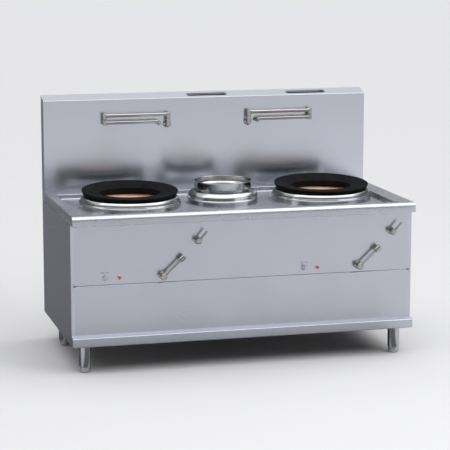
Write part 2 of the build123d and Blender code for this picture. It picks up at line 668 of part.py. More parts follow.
for end, leg_y in LEG_YS.items():
    for side, sign in (("left", -1), ("right", 1)):
        leg_x = sign * LEG_X
        leg_bottom = FOOT_HEIGHT + GAP
        with BuildPart() as leg:
            upright(leg_x, leg_y, leg_bottom, CABINET_BOTTOM, LEG_RADIUS)
            with BuildSketch(Plane.XY.offset(CABINET_BOTTOM)):
                with Locations((leg_x, leg_y)):
                    RectangleRounded(LEG_PLATE, LEG_PLATE, LEG_PLATE_CORNER)
            extrude(amount=LEG_PLATE_THICKNESS)
            upright(leg_x, leg_y, leg_bottom + LEG_BUSH, CABINET_BOTTOM, LEG_RADIUS - LEG_WALL, Mode.SUBTRACT)
            bore = FOOT_STEM_RADIUS + RUNNING_FIT
            upright(leg_x, leg_y, leg_bottom - 1, leg_bottom + LEG_BUSH + 1, bore, Mode.SUBTRACT)
            chamfer(rims(leg, LEG_RADIUS).group_by(Axis.Z)[0], 1.2)
        save(f"leg_{end}_{side}", leg.part)
        with BuildPart() as foot:
            upright(leg_x, leg_y, 0, FOOT_HEIGHT, FOOT_RADIUS)
            groove = Plane(origin=(leg_x, leg_y, FOOT_HEIGHT - 8))
            with BuildSketch(groove):
                Circle(FOOT_RADIUS + 1)
                Circle(FOOT_RADIUS - 1.6, mode=Mode.SUBTRACT)
            extrude(amount=2.5, mode=Mode.SUBTRACT)
            chamfer(foot.edges().group_by(Axis.Z)[0], 3)
            upright(leg_x, leg_y, FOOT_HEIGHT, FOOT_HEIGHT + FOOT_STEM_LENGTH, FOOT_STEM_RADIUS)
        save(f"foot_{end}_{side}", foot.part)

# ---------------------------------------------------------------- folding taps


for side, sign in (("left", -1), ("right", 1)):
    pivot_x = sign * TAP_X
    elbow_x = sign * (TAP_X + TAP_REACH)
    flange_plane = Plane(origin=(pivot_x, SPLASH_FACE, TAP_FLANGE_Z), x_dir=(1, 0, 0), z_dir=(0, -1, 0))
    with BuildPart() as tap_base:
        stub(flange_plane, TAP_FLANGE_RADIUS, TAP_FLANGE_THICKNESS)
        chamfer(tap_base.edges().filter_by(GeomType.CIRCLE).group_by(Axis.Y)[0], 2)
        stub(flange_plane.offset(-25), TUBE_RADIUS, 55)
        upright(pivot_x, TAP_AXIS_Y, TAP_FLANGE_Z - 13, PIVOT_SPLIT - GAP, RISER_RADIUS)
        chamfer(tap_base.edges().group_by(Axis.Z)[0], 2)
        upright(pivot_x, TAP_AXIS_Y, PIVOT_SPLIT - 1, PIVOT_SPLIT + SPIGOT_LENGTH, SPIGOT_RADIUS)
    save(f"tap_base_{side}", tap_base.part)

    socket = SPIGOT_RADIUS + RUNNING_FIT
    with BuildPart() as upper_arm:
        upright(pivot_x, TAP_AXIS_Y, PIVOT_SPLIT, UPPER_TUBE_Z + RISER_RADIUS, RISER_RADIUS)
        upright(elbow_x, TAP_AXIS_Y, ELBOW_SPLIT, UPPER_TUBE_Z + ELBOW_CAP, ELBOW_RADIUS)
        for cap_radius in (RISER_RADIUS, ELBOW_RADIUS):
            chamfer(rims(upper_arm, cap_radius).sort_by(Axis.Z)[-1:], 2)
        stub(Plane(origin=(pivot_x, TAP_AXIS_Y, UPPER_TUBE_Z), z_dir=(sign, 0, 0)), TUBE_RADIUS, TAP_REACH)
        upright(pivot_x, TAP_AXIS_Y, PIVOT_SPLIT - 1, PIVOT_SPLIT + SPIGOT_LENGTH + 1, socket, Mode.SUBTRACT)
        upright(elbow_x, TAP_AXIS_Y, ELBOW_SPLIT - SPIGOT_LENGTH + 2, ELBOW_SPLIT + 1, SPIGOT_RADIUS)
    save(f"tap_upper_arm_{side}", upper_arm.part)

    with BuildPart() as lower_arm:
        upright(elbow_x, TAP_AXIS_Y, LOWER_TUBE_Z - ELBOW_CAP, ELBOW_SPLIT - GAP, ELBOW_RADIUS)
        chamfer(lower_arm.edges().group_by(Axis.Z)[0], 2)
        spout_x = elbow_x - sign * SPOUT_REACH
        with BuildLine() as spout_path:
            Line((elbow_x, TAP_AXIS_Y, LOWER_TUBE_Z), (spout_x, TAP_AXIS_Y, LOWER_TUBE_Z))
            Bezier(
                (spout_x, TAP_AXIS_Y, LOWER_TUBE_Z),
                (spout_x - sign * 9, TAP_AXIS_Y, LOWER_TUBE_Z),
                (spout_x - sign * 13, TAP_AXIS_Y, LOWER_TUBE_Z - 7),
                (spout_x - sign * 15, TAP_AXIS_Y, LOWER_TUBE_Z - 17),
            )
        tube_start = Plane(origin=(elbow_x, TAP_AXIS_Y, LOWER_TUBE_Z), z_dir=(-sign, 0, 0))
        sweep(disc(tube_start, TUBE_RADIUS), path=spout_path.line)
        outlet = Plane(origin=spout_path.line @ 1, z_dir=spout_path.line % 1)
        stub(outlet, TUBE_RADIUS - 2, -10, Mode.SUBTRACT)
        upright(elbow_x, TAP_AXIS_Y, ELBOW_SPLIT - SPIGOT_LENGTH + 1, ELBOW_SPLIT + 1, socket, Mode.SUBTRACT)
    save(f"tap_lower_arm_{side}", lower_arm.part)

# ---------------------------------------------------------------- valves, levers, switches, lamps


def valve_behind_panel(x, z, across):
    """The threaded shank and hexagon body of a valve, behind the front panel, in the part being built."""
    stub(on_panel(x, z, 5), VALVE_THREAD_RADIUS, -VALVE_THREAD_LENGTH)
    with BuildSketch(on_panel(x, z, -4)) as body:
        RegularPolygon(across, 6)
    extrude(body.sketch, amount=-VALVE_HEX_LENGTH)


for side, (centre_x, _) in WOK_CENTRES.items():
    gas_x = centre_x + GAS_HUB_OFFSET
    with BuildPart() as gas_valve:
        stub(on_panel(gas_x, GAS_HUB_Z, GAP), GAS_ROSE_RADIUS, 6)
        chamfer(gas_valve.edges().group_by(Axis.Y)[0], 2)
        stub(on_panel(gas_x, GAS_HUB_Z, 6), GAS_NECK_RADIUS, 14)
        stub(on_panel(gas_x, GAS_HUB_Z, 20), STEM_RADIUS, 24)
        valve_behind_panel(gas_x, GAS_HUB_Z, VALVE_HEX_RADIUS)
    save(f"gas_valve_{side}", gas_valve.part)

    with BuildPart() as gas_lever:
        hub_plane = on_panel(gas_x, GAS_HUB_Z, 21)
        arm_direction = (cos(radians(GAS_LEVER_ANGLE)), 0, sin(radians(GAS_LEVER_ANGLE)))
        stub(hub_plane, GAS_HUB_RADIUS, HUB_DEPTH)
        chamfer(gas_lever.edges().filter_by(GeomType.CIRCLE), 1.5)
        arm_plane = Plane(origin=(gas_x, GAS_LEVER_PLANE, GAS_HUB_Z), x_dir=(0, 1, 0), z_dir=arm_direction)
        stub(arm_plane.offset(12), GAS_ARM_ROOT_RADIUS, 18)
        stub(arm_plane.offset(30), GAS_ARM_RADIUS, GAS_LEVER_LENGTH - 30)
        stub(arm_plane.offset(GAS_LEVER_LENGTH - GRIP_LENGTH / 2), GRIP_RADIUS, GRIP_LENGTH)
        fillet(rims(gas_lever, GRIP_RADIUS), radius=3)
        stub(hub_plane, STEM_RADIUS + RUNNING_FIT, 24, Mode.SUBTRACT)
        stub(hub_plane.offset(HUB_DEPTH), GAS_SOCKET_RADIUS, -1.5, Mode.SUBTRACT)
    save(f"gas_lever_{side}", gas_lever.part)

    water_x = centre_x + WATER_HUB_OFFSET
    with BuildPart() as water_valve:
        stub(on_panel(water_x, WATER_HUB_Z, GAP), WATER_ROSE_RADIUS, 5)
        chamfer(water_valve.edges().group_by(Axis.Y)[0], 2)
        stub(on_panel(water_x, WATER_HUB_Z, 5), WATER_NECK_RADIUS, 19)
        stub(on_panel(water_x, WATER_HUB_Z, 24), STEM_RADIUS, 22)
        valve_behind_panel(water_x, WATER_HUB_Z, VALVE_HEX_RADIUS - 1)
    save(f"water_valve_{side}", water_valve.part)

    with BuildPart() as water_lever:
        hub_plane = on_panel(water_x, WATER_HUB_Z, 25)
        arm_direction = (cos(radians(WATER_LEVER_ANGLE)), -0.08, sin(radians(WATER_LEVER_ANGLE)))
        stub(hub_plane, WATER_HUB_RADIUS, HUB_DEPTH)
        chamfer(water_lever.edges().filter_by(GeomType.CIRCLE), 2)
        arm_plane = Plane(origin=(water_x, WATER_LEVER_PLANE + 4, WATER_HUB_Z), z_dir=arm_direction)
        tip_plane = arm_plane.offset(WATER_LEVER_LENGTH - 6)
        loft([disc(arm_plane, WATER_ARM_ROOT_RADIUS), disc(tip_plane, WATER_ARM_TIP_RADIUS)])
        with Locations(tip_plane.location):
            Sphere(WATER_ARM_TIP_RADIUS + 1)
        stub(hub_plane, STEM_RADIUS + RUNNING_FIT, 22, Mode.SUBTRACT)
    save(f"water_lever_{side}", water_lever.part)

    switch_x = centre_x + SWITCH_OFFSET
    with BuildPart() as switch_bezel:
        stub(on_panel(switch_x, SWITCH_Z, GAP), BEZEL_RADIUS, BEZEL_THICKNESS)
        chamfer(switch_bezel.edges().group_by(Axis.Y)[0], 1)
        stub(on_panel(switch_x, SWITCH_Z, GAP), LAMP_BODY_RADIUS, -42)
        stub(on_panel(switch_x, SWITCH_Z, 4), SPINDLE_RADIUS + RUNNING_FIT, -20, Mode.SUBTRACT)
    save(f"switch_body_{side}", switch_bezel.part)

    with BuildPart() as switch_knob:
        knob_plane = on_panel(switch_x, SWITCH_Z, BEZEL_THICKNESS + GAP + 0.4)
        stub(knob_plane, KNOB_RADIUS, KNOB_HEIGHT)
        chamfer(switch_knob.edges().group_by(Axis.Y)[0], 1.2)
        with Locations(knob_plane.offset(KNOB_HEIGHT).location):
            Box(KNOB_GRIP_WIDTH, 2 * KNOB_RADIUS - 3, KNOB_GRIP_HEIGHT)
        fillet(switch_knob.edges().group_by(Axis.Y)[0], radius=1)
        stub(knob_plane, SPINDLE_RADIUS, -SPINDLE_LENGTH)
    save(f"switch_knob_{side}", switch_knob.part)

with BuildPart() as lamp_bezels:
    for centre_x, _ in WOK_CENTRES.values():
        lamp_plane = on_panel(centre_x + LAMP_OFFSET, LAMP_Z, GAP)
        stub(lamp_plane, LAMP_RADIUS, 4)
        stub(lamp_plane, LAMP_BODY_RADIUS, -LAMP_DEPTH)
        stub(lamp_plane.offset(5), LENS_RADIUS + GAP, -3.3, Mode.SUBTRACT)
    chamfer(rims(lamp_bezels, LAMP_RADIUS).group_by(Axis.Y)[0], 1)
save("lamp_bodies", lamp_bezels.part)

with BuildPart() as lamp_lenses:
    for centre_x, _ in WOK_CENTRES.values():
        stub(on_panel(centre_x + LAMP_OFFSET, LAMP_Z, 2.3), LENS_RADIUS, 7)
    fillet(lamp_lenses.edges().group_by(Axis.Y)[0], radius=4)
save("lamp_lenses", lamp_lenses.part)

# ---------------------------------------------------------------- services inside the cabinet


def scroll(plane, centre_y, shrink):
    """The blower's side outline, drawn in by shrink: three quarter arcs growing into an upright outlet."""
    front = centre_y - BLOWER_OUTLET / 2
    behind = centre_y + BLOWER_OUTLET / 2 - shrink
    radii = [BLOWER_RADIUS - step * BLOWER_GROWTH for step in range(3)]
    centres = (
        (front + BLOWER_RADIUS, BLOWER_Z),
        (front + BLOWER_RADIUS, BLOWER_Z - BLOWER_GROWTH),
        (front + BLOWER_RADIUS + BLOWER_GROWTH, BLOWER_Z - BLOWER_GROWTH),
    )
    tongue = (centres[2][0], centres[2][1] + radii[2] - shrink)
    with BuildSketch(plane) as outline:
        with BuildLine():
            for quarter, (centre, radius) in enumerate(zip(centres, radii)):
                CenterArc(centre, radius - shrink, 180 + 90 * quarter, 90)
            Polyline(
                tongue,
                (behind, tongue[1]),
                (behind, BLOWER_OUTLET_TOP - shrink),
                (front + shrink, BLOWER_OUTLET_TOP - shrink),
                (front + shrink, BLOWER_Z),
            )
        make_face()
    return outline.sketch


with BuildPart() as blowers:
    for centre_x, centre_y in WOK_CENTRES.values():
        near_side, far_side = centre_x - BLOWER_WIDTH / 2, centre_x + BLOWER_WIDTH / 2
        wheel_y = centre_y - BLOWER_OUTLET / 2 + BLOWER_RADIUS
        extrude(scroll(Plane.YZ.offset(near_side), centre_y, 0), amount=BLOWER_WIDTH)
        upright(centre_x, centre_y, BLOWER_OUTLET_TOP, CHAMBER_BOTTOM - 51, AIR_TUBE_RADIUS)
        inside = scroll(Plane.YZ.offset(near_side + BLOWER_WALL), centre_y, BLOWER_WALL)
        extrude(inside, amount=BLOWER_WIDTH - 2 * BLOWER_WALL, mode=Mode.SUBTRACT)
        bore = AIR_TUBE_RADIUS - BLOWER_WALL
        upright(centre_x, centre_y, BLOWER_OUTLET_TOP - 2 * BLOWER_WALL, CHAMBER_BOTTOM, bore, Mode.SUBTRACT)
        intake = Plane(origin=(near_side - 1, wheel_y, BLOWER_Z), z_dir=(1, 0, 0))
        stub(intake, INTAKE_RADIUS, 2 * BLOWER_WALL, Mode.SUBTRACT)
        stub(Plane(origin=(far_side, wheel_y, BLOWER_Z), z_dir=(1, 0, 0)), MOTOR_RADIUS, MOTOR_LENGTH)
save("blowers", blowers.part)


def pipe_run(points, radius, bend):
    """A round pipe along a route with its corners bent to one radius, in the part being built."""
    with BuildLine() as route:
        FilletPolyline(*points, radius=bend)
    sweep(disc(Plane(origin=route.line @ 0, z_dir=route.line % 0), radius), path=route.line)


gas_xs = [centre_x + GAS_HUB_OFFSET for centre_x, _ in WOK_CENTRES.values()]
with BuildPart() as gas_pipes:
    pipe_run(
        [
            (gas_xs[0] - 40, VALVE_Y, GAS_HEADER_Z),
            (GAS_INLET[0], VALVE_Y, GAS_HEADER_Z),
            (*GAS_INLET, GAS_HEADER_Z),
            (*GAS_INLET, INLET_BOTTOM),
        ],
        GAS_PIPE_RADIUS,
        40,
    )
    for gas_x, (centre_x, centre_y) in zip(gas_xs, WOK_CENTRES.values()):
        upright(gas_x, VALVE_Y, GAS_HEADER_Z, GAS_HUB_Z - VALVE_HEX_RADIUS, BRANCH_RADIUS)
        pipe_run(
            [
                (gas_x, VALVE_Y, GAS_HUB_Z + VALVE_HEX_RADIUS),
                (gas_x, VALVE_Y, GAS_FEED_Z),
                (gas_x, centre_y, GAS_FEED_Z),
                (centre_x + AIR_TUBE_RADIUS, centre_y, GAS_FEED_Z),
            ],
            BRANCH_RADIUS,
            24,
        )
save("gas_pipes", gas_pipes.part)

water_xs = [centre_x + WATER_HUB_OFFSET for centre_x, _ in WOK_CENTRES.values()]
with BuildPart() as water_pipes:
    header = Plane(origin=(water_xs[0] - 20, WATER_HEADER_Y, WATER_HUB_Z), z_dir=(1, 0, 0))
    stub(header, BRANCH_RADIUS, water_xs[1] - water_xs[0] + 40)
    for water_x in water_xs:
        branch = Plane(origin=(water_x, BODY_FRONT + 41, WATER_HUB_Z), z_dir=(0, 1, 0))
        stub(branch, BRANCH_RADIUS - 1, WATER_HEADER_Y - BODY_FRONT - 41)
    pipe_run(
        [
            (*WATER_INLET, INLET_BOTTOM),
            (*WATER_INLET, WATER_RUN_Z),
            (WATER_INLET[0], WATER_HEADER_Y, WATER_RUN_Z),
            (WATER_INLET[0], WATER_HEADER_Y, WATER_HUB_Z),
        ],
        WATER_PIPE_RADIUS,
        30,
    )
save("water_pipes", water_pipes.part)

riser_y = SHELL_FRONT + 12
with BuildPart() as tap_pipes:
    for sign, water_x in zip((-1, 1), water_xs):
        pipe_run(
            [
                (water_x, VALVE_Y, WATER_HUB_Z - VALVE_HEX_RADIUS + 1),
                (water_x, VALVE_Y, TAP_RUN_Z),
                (water_x, riser_y, TAP_RUN_Z),
                (sign * TAP_X, riser_y, TAP_RUN_Z),
                (sign * TAP_X, riser_y, TAP_FLANGE_Z),
                (sign * TAP_X, SPLASH_FACE + 26, TAP_FLANGE_Z),
            ],
            BRANCH_RADIUS,
            12,
        )
save("tap_pipes", tap_pipes.part)

with BuildPart() as panel_screws:
    for sign in (-1, 1):
        for height in (PANEL_SEAM - SCREW_SPACING / 2, PANEL_SEAM + SCREW_SPACING / 2):
            head = on_panel(sign * (WIDTH / 2 - SCREW_FROM_SIDE), height, GAP)
            stub(head, SCREW_RADIUS, 1.6)
            stub(head.offset(2.2), SCREW_RADIUS / 2, -1.2, Mode.SUBTRACT)
save("panel_screws", panel_screws.part)
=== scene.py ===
import json
import math

import bmesh
import bpy
from bpy.props import FloatProperty, FloatVectorProperty, IntProperty, PointerProperty
from mathutils import Matrix, Vector


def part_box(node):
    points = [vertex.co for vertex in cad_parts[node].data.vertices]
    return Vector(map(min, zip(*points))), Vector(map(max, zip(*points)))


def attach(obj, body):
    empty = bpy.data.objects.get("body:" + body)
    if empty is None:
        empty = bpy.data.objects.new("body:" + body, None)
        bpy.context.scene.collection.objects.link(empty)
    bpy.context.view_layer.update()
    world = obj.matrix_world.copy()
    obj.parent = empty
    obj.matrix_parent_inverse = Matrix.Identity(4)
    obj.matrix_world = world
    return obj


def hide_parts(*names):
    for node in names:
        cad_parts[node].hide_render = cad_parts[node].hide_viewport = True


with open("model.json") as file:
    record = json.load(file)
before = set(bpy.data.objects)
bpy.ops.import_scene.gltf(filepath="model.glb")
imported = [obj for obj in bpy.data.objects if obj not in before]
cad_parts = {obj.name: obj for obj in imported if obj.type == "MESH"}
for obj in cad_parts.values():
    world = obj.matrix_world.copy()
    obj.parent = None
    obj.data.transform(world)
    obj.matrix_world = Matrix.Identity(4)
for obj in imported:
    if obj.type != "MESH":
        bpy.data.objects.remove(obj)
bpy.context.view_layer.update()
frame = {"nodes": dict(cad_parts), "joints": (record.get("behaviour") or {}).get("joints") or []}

bl_info = {
    "name": "Wok Range",
    "version": (1, 0, 0),
    "blender": (4, 5, 0),
    "location": "View3D > Sidebar > Wok Range",
    "description": "Dresses the packed wok range: steel, cast iron, fire clay and its studio",
    "category": "Add Mesh",
}

MM = 0.001
SIDES = ("left", "right")
UP = Vector((0, 0, 1))
TO_COOK = Vector((0, -1, 0))


# ---- reading the frame


def centre_of(node):
    """Middle of a node's box."""
    low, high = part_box(node)
    return (low + high) / 2


def size_of(node):
    """Edge lengths of a node's box."""
    low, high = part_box(node)
    return high - low


def joint_point(name):
    """A point on a joint's axis."""
    found = next(joint for joint in frame["joints"] if joint["name"] == name)
    return Vector(found["pos_m"])


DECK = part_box("drum_left")[0].z
PANEL_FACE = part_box("control_panel")[0].y
SPLASH_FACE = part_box("splashback_front")[0].y
SEAT_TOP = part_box("drum_left")[1].z
WOK_AXES = {side: centre_of(f"wok_ring_{side}") for side in SIDES}
POT_AXIS = centre_of("pot_collar")


# ---- settings


def length(name, description, default, low=0.0, high=2.0):
    """A length that a user may change, in metres."""
    return FloatProperty(name=name, description=description, default=default, min=low, max=high, unit="LENGTH")


def slope(name, description, degrees):
    """An angle that a user may change."""
    return FloatProperty(name=name, description=description, default=math.radians(degrees), subtype="ANGLE")


def level(name, description, default):
    """A brightness, a power or a lens that a user may change."""
    return FloatProperty(name=name, description=description, default=default, min=0)


def colour(name, description, default):
    """A surface colour that a user may change."""
    return FloatVectorProperty(
        name=name, description=description, default=default, size=3, min=0.0, max=1.0, subtype="COLOR"
    )


class WokRangeFinishes(bpy.types.PropertyGroup):
    """Colours and grain of the range's materials."""

    steel: colour("Steel", "Brushed stainless sheet", (0.510, 0.525, 0.580))
    # Bright steel's tone is set darker than the sheet steel's: painted shade for the dark reflections on the drum
    # walls, which the collar and the legs share.
    bright_steel: colour("Bright steel", "Polished stainless of drums and collar", (0.460, 0.465, 0.480))
    cast_iron: colour("Cast iron", "Blacked wok rings and burners", (0.006, 0.006, 0.0065))
    # Fire clay's colour is paler than the clay's own: painted light, so that the lining deep in the throat shows
    # bright.
    fire_clay: colour("Fire clay", "Moulded chamber lining", (0.850, 0.590, 0.430))
    lamp_red: colour("Lamp red", "Indicator lens", (0.420, 0.012, 0.020))
    grain: length("Grain", "Width of one brushing line", 0.9 * MM, 0.1 * MM, 5 * MM)


class WokRangeHob(bpy.types.PropertyGroup):
    """Sizes of the pressed hob."""

    nose: length("Nose", "Radius of the rounded front edge", 22 * MM, 5 * MM, 40 * MM)
    left_margin: length("Left margin", "Flat margin to the left of the recess", 48 * MM)
    front_margin: length("Front margin", "Flat margin before the recess", 52 * MM)


class WokRangeStations(bpy.types.PropertyGroup):
    """Sizes of the wok and stockpot stations."""

    seat_radius: length("Seat radius", "Outside of the wok ring and its seat", size_of("wok_ring_left").x / 2)
    throat_radius: length("Throat radius", "Opening of the wok ring", 160 * MM)
    ring_tilt: slope("Ring tilt", "Slope of the ring's rim towards the cook", 3.3)
    collar_radius: length("Collar radius", "Outside of the stockpot collar", 151.5 * MM)
    segments: IntProperty(name="Segments", description="Faces round a drum", default=192, min=48, max=384)


class WokRangeTaps(bpy.types.PropertyGroup):
    """Sizes of the folding taps."""

    tube_radius: length("Tube radius", "Outside of the arm tubes", 9.5 * MM)
    riser_radius: length("Riser radius", "Outside of the swivel on the base", 12 * MM)
    elbow_radius: length("Elbow radius", "Outside of the folding joint", 11 * MM)


class WokRangeStudio(bpy.types.PropertyGroup):
    """Camera, lamps and floor."""

    camera_place: FloatVectorProperty(
        name="Camera place", description="Where the camera stands",
        default=(-2.3945, -8.9794, 2.275), size=3, subtype="TRANSLATION", unit="LENGTH",
    )
    camera_tilt: slope("Camera tilt", "Downward slope of the view", 9.877)
    camera_turn: slope("Camera turn", "Turn of the view about the vertical", -14.927)
    focal_length: level("Focal length", "Lens, in millimetres", 142.5)
    floor: colour("Floor", "Pale studio floor", (0.53, 0.53, 0.54))
    room: level("Room", "Brightness of the unlit room", 0.16)
    front_box: level("Front softbox", "Brightness of the high front softbox", 1.9)
    side_box: level("Side softboxes", "Brightness of the low side softboxes", 1.3)
    ceiling: level("Ceiling", "Brightness of the ceiling bounce", 1.7)
    back_wall: level("Back wall", "Brightness of the wall behind", 0.75)
    key: level("Key lamp", "Power of the soft key lamp, in watts", 100.0)


def settings():
    """All settings, in one place."""
    return bpy.context.scene.wok_range


class WokRangeSettings(bpy.types.PropertyGroup):
    """Everything that a user would change."""

    finishes: PointerProperty(type=WokRangeFinishes, name="Finishes", description="Materials of the range")
    hob: PointerProperty(type=WokRangeHob, name="Hob", description="Sizes of the pressed hob")
    stations: PointerProperty(type=WokRangeStations, name="Stations", description="Sizes of the stations")
    taps: PointerProperty(type=WokRangeTaps, name="Taps", description="Sizes of the taps")
    studio: PointerProperty(type=WokRangeStudio, name="Studio", description="Camera, lamps and floor")


# ---- node helpers


def feed(tree, socket, given):
    """Link a socket to another one, or give it a plain value."""
    if isinstance(given, bpy.types.NodeSocket):
        tree.links.new(given, socket)
    elif given is not None:
        socket.default_value = given


def maths(tree, operation, first, second=None):
    """A maths node fed by sockets or numbers; gives its output socket."""
    node = tree.nodes.new("ShaderNodeMath")
    node.operation = operation
    feed(tree, node.inputs[0], first)
    feed(tree, node.inputs[1], second)
    return node.outputs[0]


def vector_maths(tree, operation, first, second=None):
    """A vector maths node fed by sockets or vectors; gives all its outputs."""
    node = tree.nodes.new("ShaderNodeVectorMath")
    node.operation = operation
    feed(tree, node.inputs[0], first)
    feed(tree, node.inputs[1], second)
    return node.outputs


def on_surface(tree):
    """The place on the surface, in metres in the shared frame."""
    return tree.nodes.new("ShaderNodeTexCoord").outputs["Object"]


def grain_tangent(tree, axis):
    """The direction that a grain about or along an axis gives to highlights."""
    node = tree.nodes.new("ShaderNodeTangent")
    node.direction_type, node.axis = "RADIAL", axis
    return node.outputs[0]


def remap(tree, value, low, high, new_low, new_high):
    """Stretch a value from one span to another, held at the ends."""
    node = tree.nodes.new("ShaderNodeMapRange")
    node.clamp = True
    for socket, given in zip(node.inputs, (value, low, high, new_low, new_high)):
        feed(tree, socket, given)
    return node.outputs["Result"]


def mixed_colour(tree, factor, first, second):
    """A blend of two colours by a factor socket."""
    node = tree.nodes.new("ShaderNodeMix")
    node.data_type = "RGBA"
    for socket, given in ((node.inputs[0], factor), (node.inputs[6], first), (node.inputs[7], second)):
        feed(tree, socket, given)
    return node.outputs[2]


def noise(tree, vector, scale, detail=2.0, roughness=0.5):
    """Noise on a vector; gives its value socket."""
    node = tree.nodes.new("ShaderNodeTexNoise")
    tree.links.new(vector, node.inputs["Vector"])
    for label, given in (("Scale", scale), ("Detail", detail), ("Roughness", roughness)):
        feed(tree, node.inputs[label], given)
    return node.outputs["Fac"]


def new_group(name, inputs, outputs):
    """An empty shader node group with named inputs (name, kind, default) and outputs."""
    tree = bpy.data.node_groups.new(name, "ShaderNodeTree")
    for label, kind, default in inputs:
        socket = tree.interface.new_socket(name=label, in_out="INPUT", socket_type=kind)
        socket.default_value = default
    for label, kind in outputs:
        tree.interface.new_socket(name=label, in_out="OUTPUT", socket_type=kind)
    return tree, tree.nodes.new("NodeGroupInput"), tree.nodes.new("NodeGroupOutput")


def brushed_grain_group():
    """Long fine lines left by the brushing belt, with broader bands between passes."""
    tree, given, result = new_group(
        "Brushed grain",
        [
            ("Stretch", "NodeSocketVector", (5.0, 900.0, 900.0)),
            ("Fine", "NodeSocketFloat", 1.0),
            ("Band", "NodeSocketFloat", 0.12),
        ],
        [("Height", "NodeSocketFloat"), ("Shade", "NodeSocketFloat")],
    )
    stretched = vector_maths(tree, "MULTIPLY", on_surface(tree), given.outputs["Stretch"])[0]
    fine = noise(tree, stretched, given.outputs["Fine"], 3.0, 0.6)
    band = noise(tree, stretched, given.outputs["Band"])
    height = maths(tree, "ADD", maths(tree, "MULTIPLY", fine, 0.7), maths(tree, "MULTIPLY", band, 0.3))
    tree.links.new(height, result.inputs["Height"])
    tree.links.new(band, result.inputs["Shade"])
    return tree


def turned_grain_group():
    """Fine rings left by spinning or turning about a vertical axis."""
    tree, given, result = new_group(
        "Turned grain",
        [("Axis", "NodeSocketVector", (0.0, 0.0, 0.0)), ("Pitch", "NodeSocketFloat", 900.0)],
        [("Height", "NodeSocketFloat"), ("Shade", "NodeSocketFloat")],
    )
    split = tree.nodes.new("ShaderNodeSeparateXYZ")
    feed(tree, split.inputs[0], vector_maths(tree, "SUBTRACT", on_surface(tree), given.outputs["Axis"])[0])
    x, y, z = split.outputs
    radius = maths(tree, "SQRT", maths(tree, "ADD", maths(tree, "POWER", x, 2.0), maths(tree, "POWER", y, 2.0)))
    join = tree.nodes.new("ShaderNodeCombineXYZ")
    feed(tree, join.inputs[0], maths(tree, "MULTIPLY", radius, given.outputs["Pitch"]))
    feed(tree, join.inputs[1], maths(tree, "MULTIPLY", z, given.outputs["Pitch"]))
    feed(tree, join.inputs[2], maths(tree, "MULTIPLY", maths(tree, "ARCTAN2", y, x), 1.2))
    fine = noise(tree, join.outputs[0], 1.0, 3.0, 0.6)
    band = noise(tree, join.outputs[0], 0.1, 2.0, 0.5)
    tree.links.new(fine, result.inputs["Height"])
    tree.links.new(band, result.inputs["Shade"])
    return tree


def smears_group():
    """Cloudy hand and cloth marks that change how sharply a surface shines."""
    tree, given, result = new_group(
        "Smears",
        [("Size", "NodeSocketFloat", 7.0)],
        [("Mask", "NodeSocketFloat")],
    )
    cloud = noise(tree, on_surface(tree), given.outputs["Size"], 5.0, 0.62)
    tree.links.new(remap(tree, cloud, 0.42, 0.72, 0.0, 1.0), result.inputs["Mask"])
    return tree


def edge_wear_group():
    """A mask that is 1 on worn outer edges and 0 on flat faces, and a normal that rounds the edges."""
    tree, given, result = new_group(
        "Edge wear",
        [("Width", "NodeSocketFloat", 1.5 * MM), ("Breakup", "NodeSocketFloat", 60.0)],
        [("Mask", "NodeSocketFloat"), ("Normal", "NodeSocketVector")],
    )
    bevel = tree.nodes.new("ShaderNodeBevel")
    bevel.samples = 4
    tree.links.new(given.outputs["Width"], bevel.inputs["Radius"])
    surface = tree.nodes.new("ShaderNodeNewGeometry")
    facing = vector_maths(tree, "DOT_PRODUCT", bevel.outputs[0], surface.outputs["Normal"])["Value"]
    edge = remap(tree, facing, 0.75, 0.99, 1.0, 0.0)
    broken = noise(tree, on_surface(tree), given.outputs["Breakup"], 4.0, 0.6)
    mask = maths(tree, "MULTIPLY", edge, remap(tree, broken, 0.4, 0.62, 0.0, 1.0))
    tree.links.new(mask, result.inputs["Mask"])
    tree.links.new(bevel.outputs[0], result.inputs["Normal"])
    return tree


def cast_skin_group():
    """The sandy skin of a casting: fine grit over shallow waves and a few pits."""
    tree, given, result = new_group(
        "Cast skin",
        [("Grit", "NodeSocketFloat", 900.0), ("Waves", "NodeSocketFloat", 35.0)],
        [("Height", "NodeSocketFloat"), ("Pits", "NodeSocketFloat")],
    )
    place = on_surface(tree)
    grit = noise(tree, place, given.outputs["Grit"], 3.0, 0.6)
    waves = noise(tree, place, given.outputs["Waves"], 4.0, 0.55)
    pits = remap(tree, noise(tree, place, 260.0, 1.0), 0.62, 0.72, 0.0, 1.0)
    rough = maths(tree, "ADD", maths(tree, "MULTIPLY", grit, 0.35), waves)
    tree.links.new(maths(tree, "SUBTRACT", rough, maths(tree, "MULTIPLY", pits, 0.4)), result.inputs["Height"])
    tree.links.new(pits, result.inputs["Pits"])
    return tree


GROUPS = {}


def place_group(tree, name, **values):
    """Put one of the shared effects into a material with its own values."""
    builders = {
        "Brushed grain": brushed_grain_group,
        "Turned grain": turned_grain_group,
        "Smears": smears_group,
        "Edge wear": edge_wear_group,
        "Cast skin": cast_skin_group,
    }
    if name not in GROUPS:
        GROUPS[name] = builders[name]()
    node = tree.nodes.new("ShaderNodeGroup")
    node.node_tree = GROUPS[name]
    for label, value in values.items():
        node.inputs[label].default_value = value
    return node


def bumped(tree, height, strength, distance, normal=None):
    """A bump node that feeds a Normal socket."""
    bump = tree.nodes.new("ShaderNodeBump")
    bump.inputs["Strength"].default_value = strength
    bump.inputs["Distance"].default_value = distance
    tree.links.new(height, bump.inputs["Height"])
    if normal is not None:
        tree.links.new(normal, bump.inputs["Normal"])
    return bump.outputs[0]


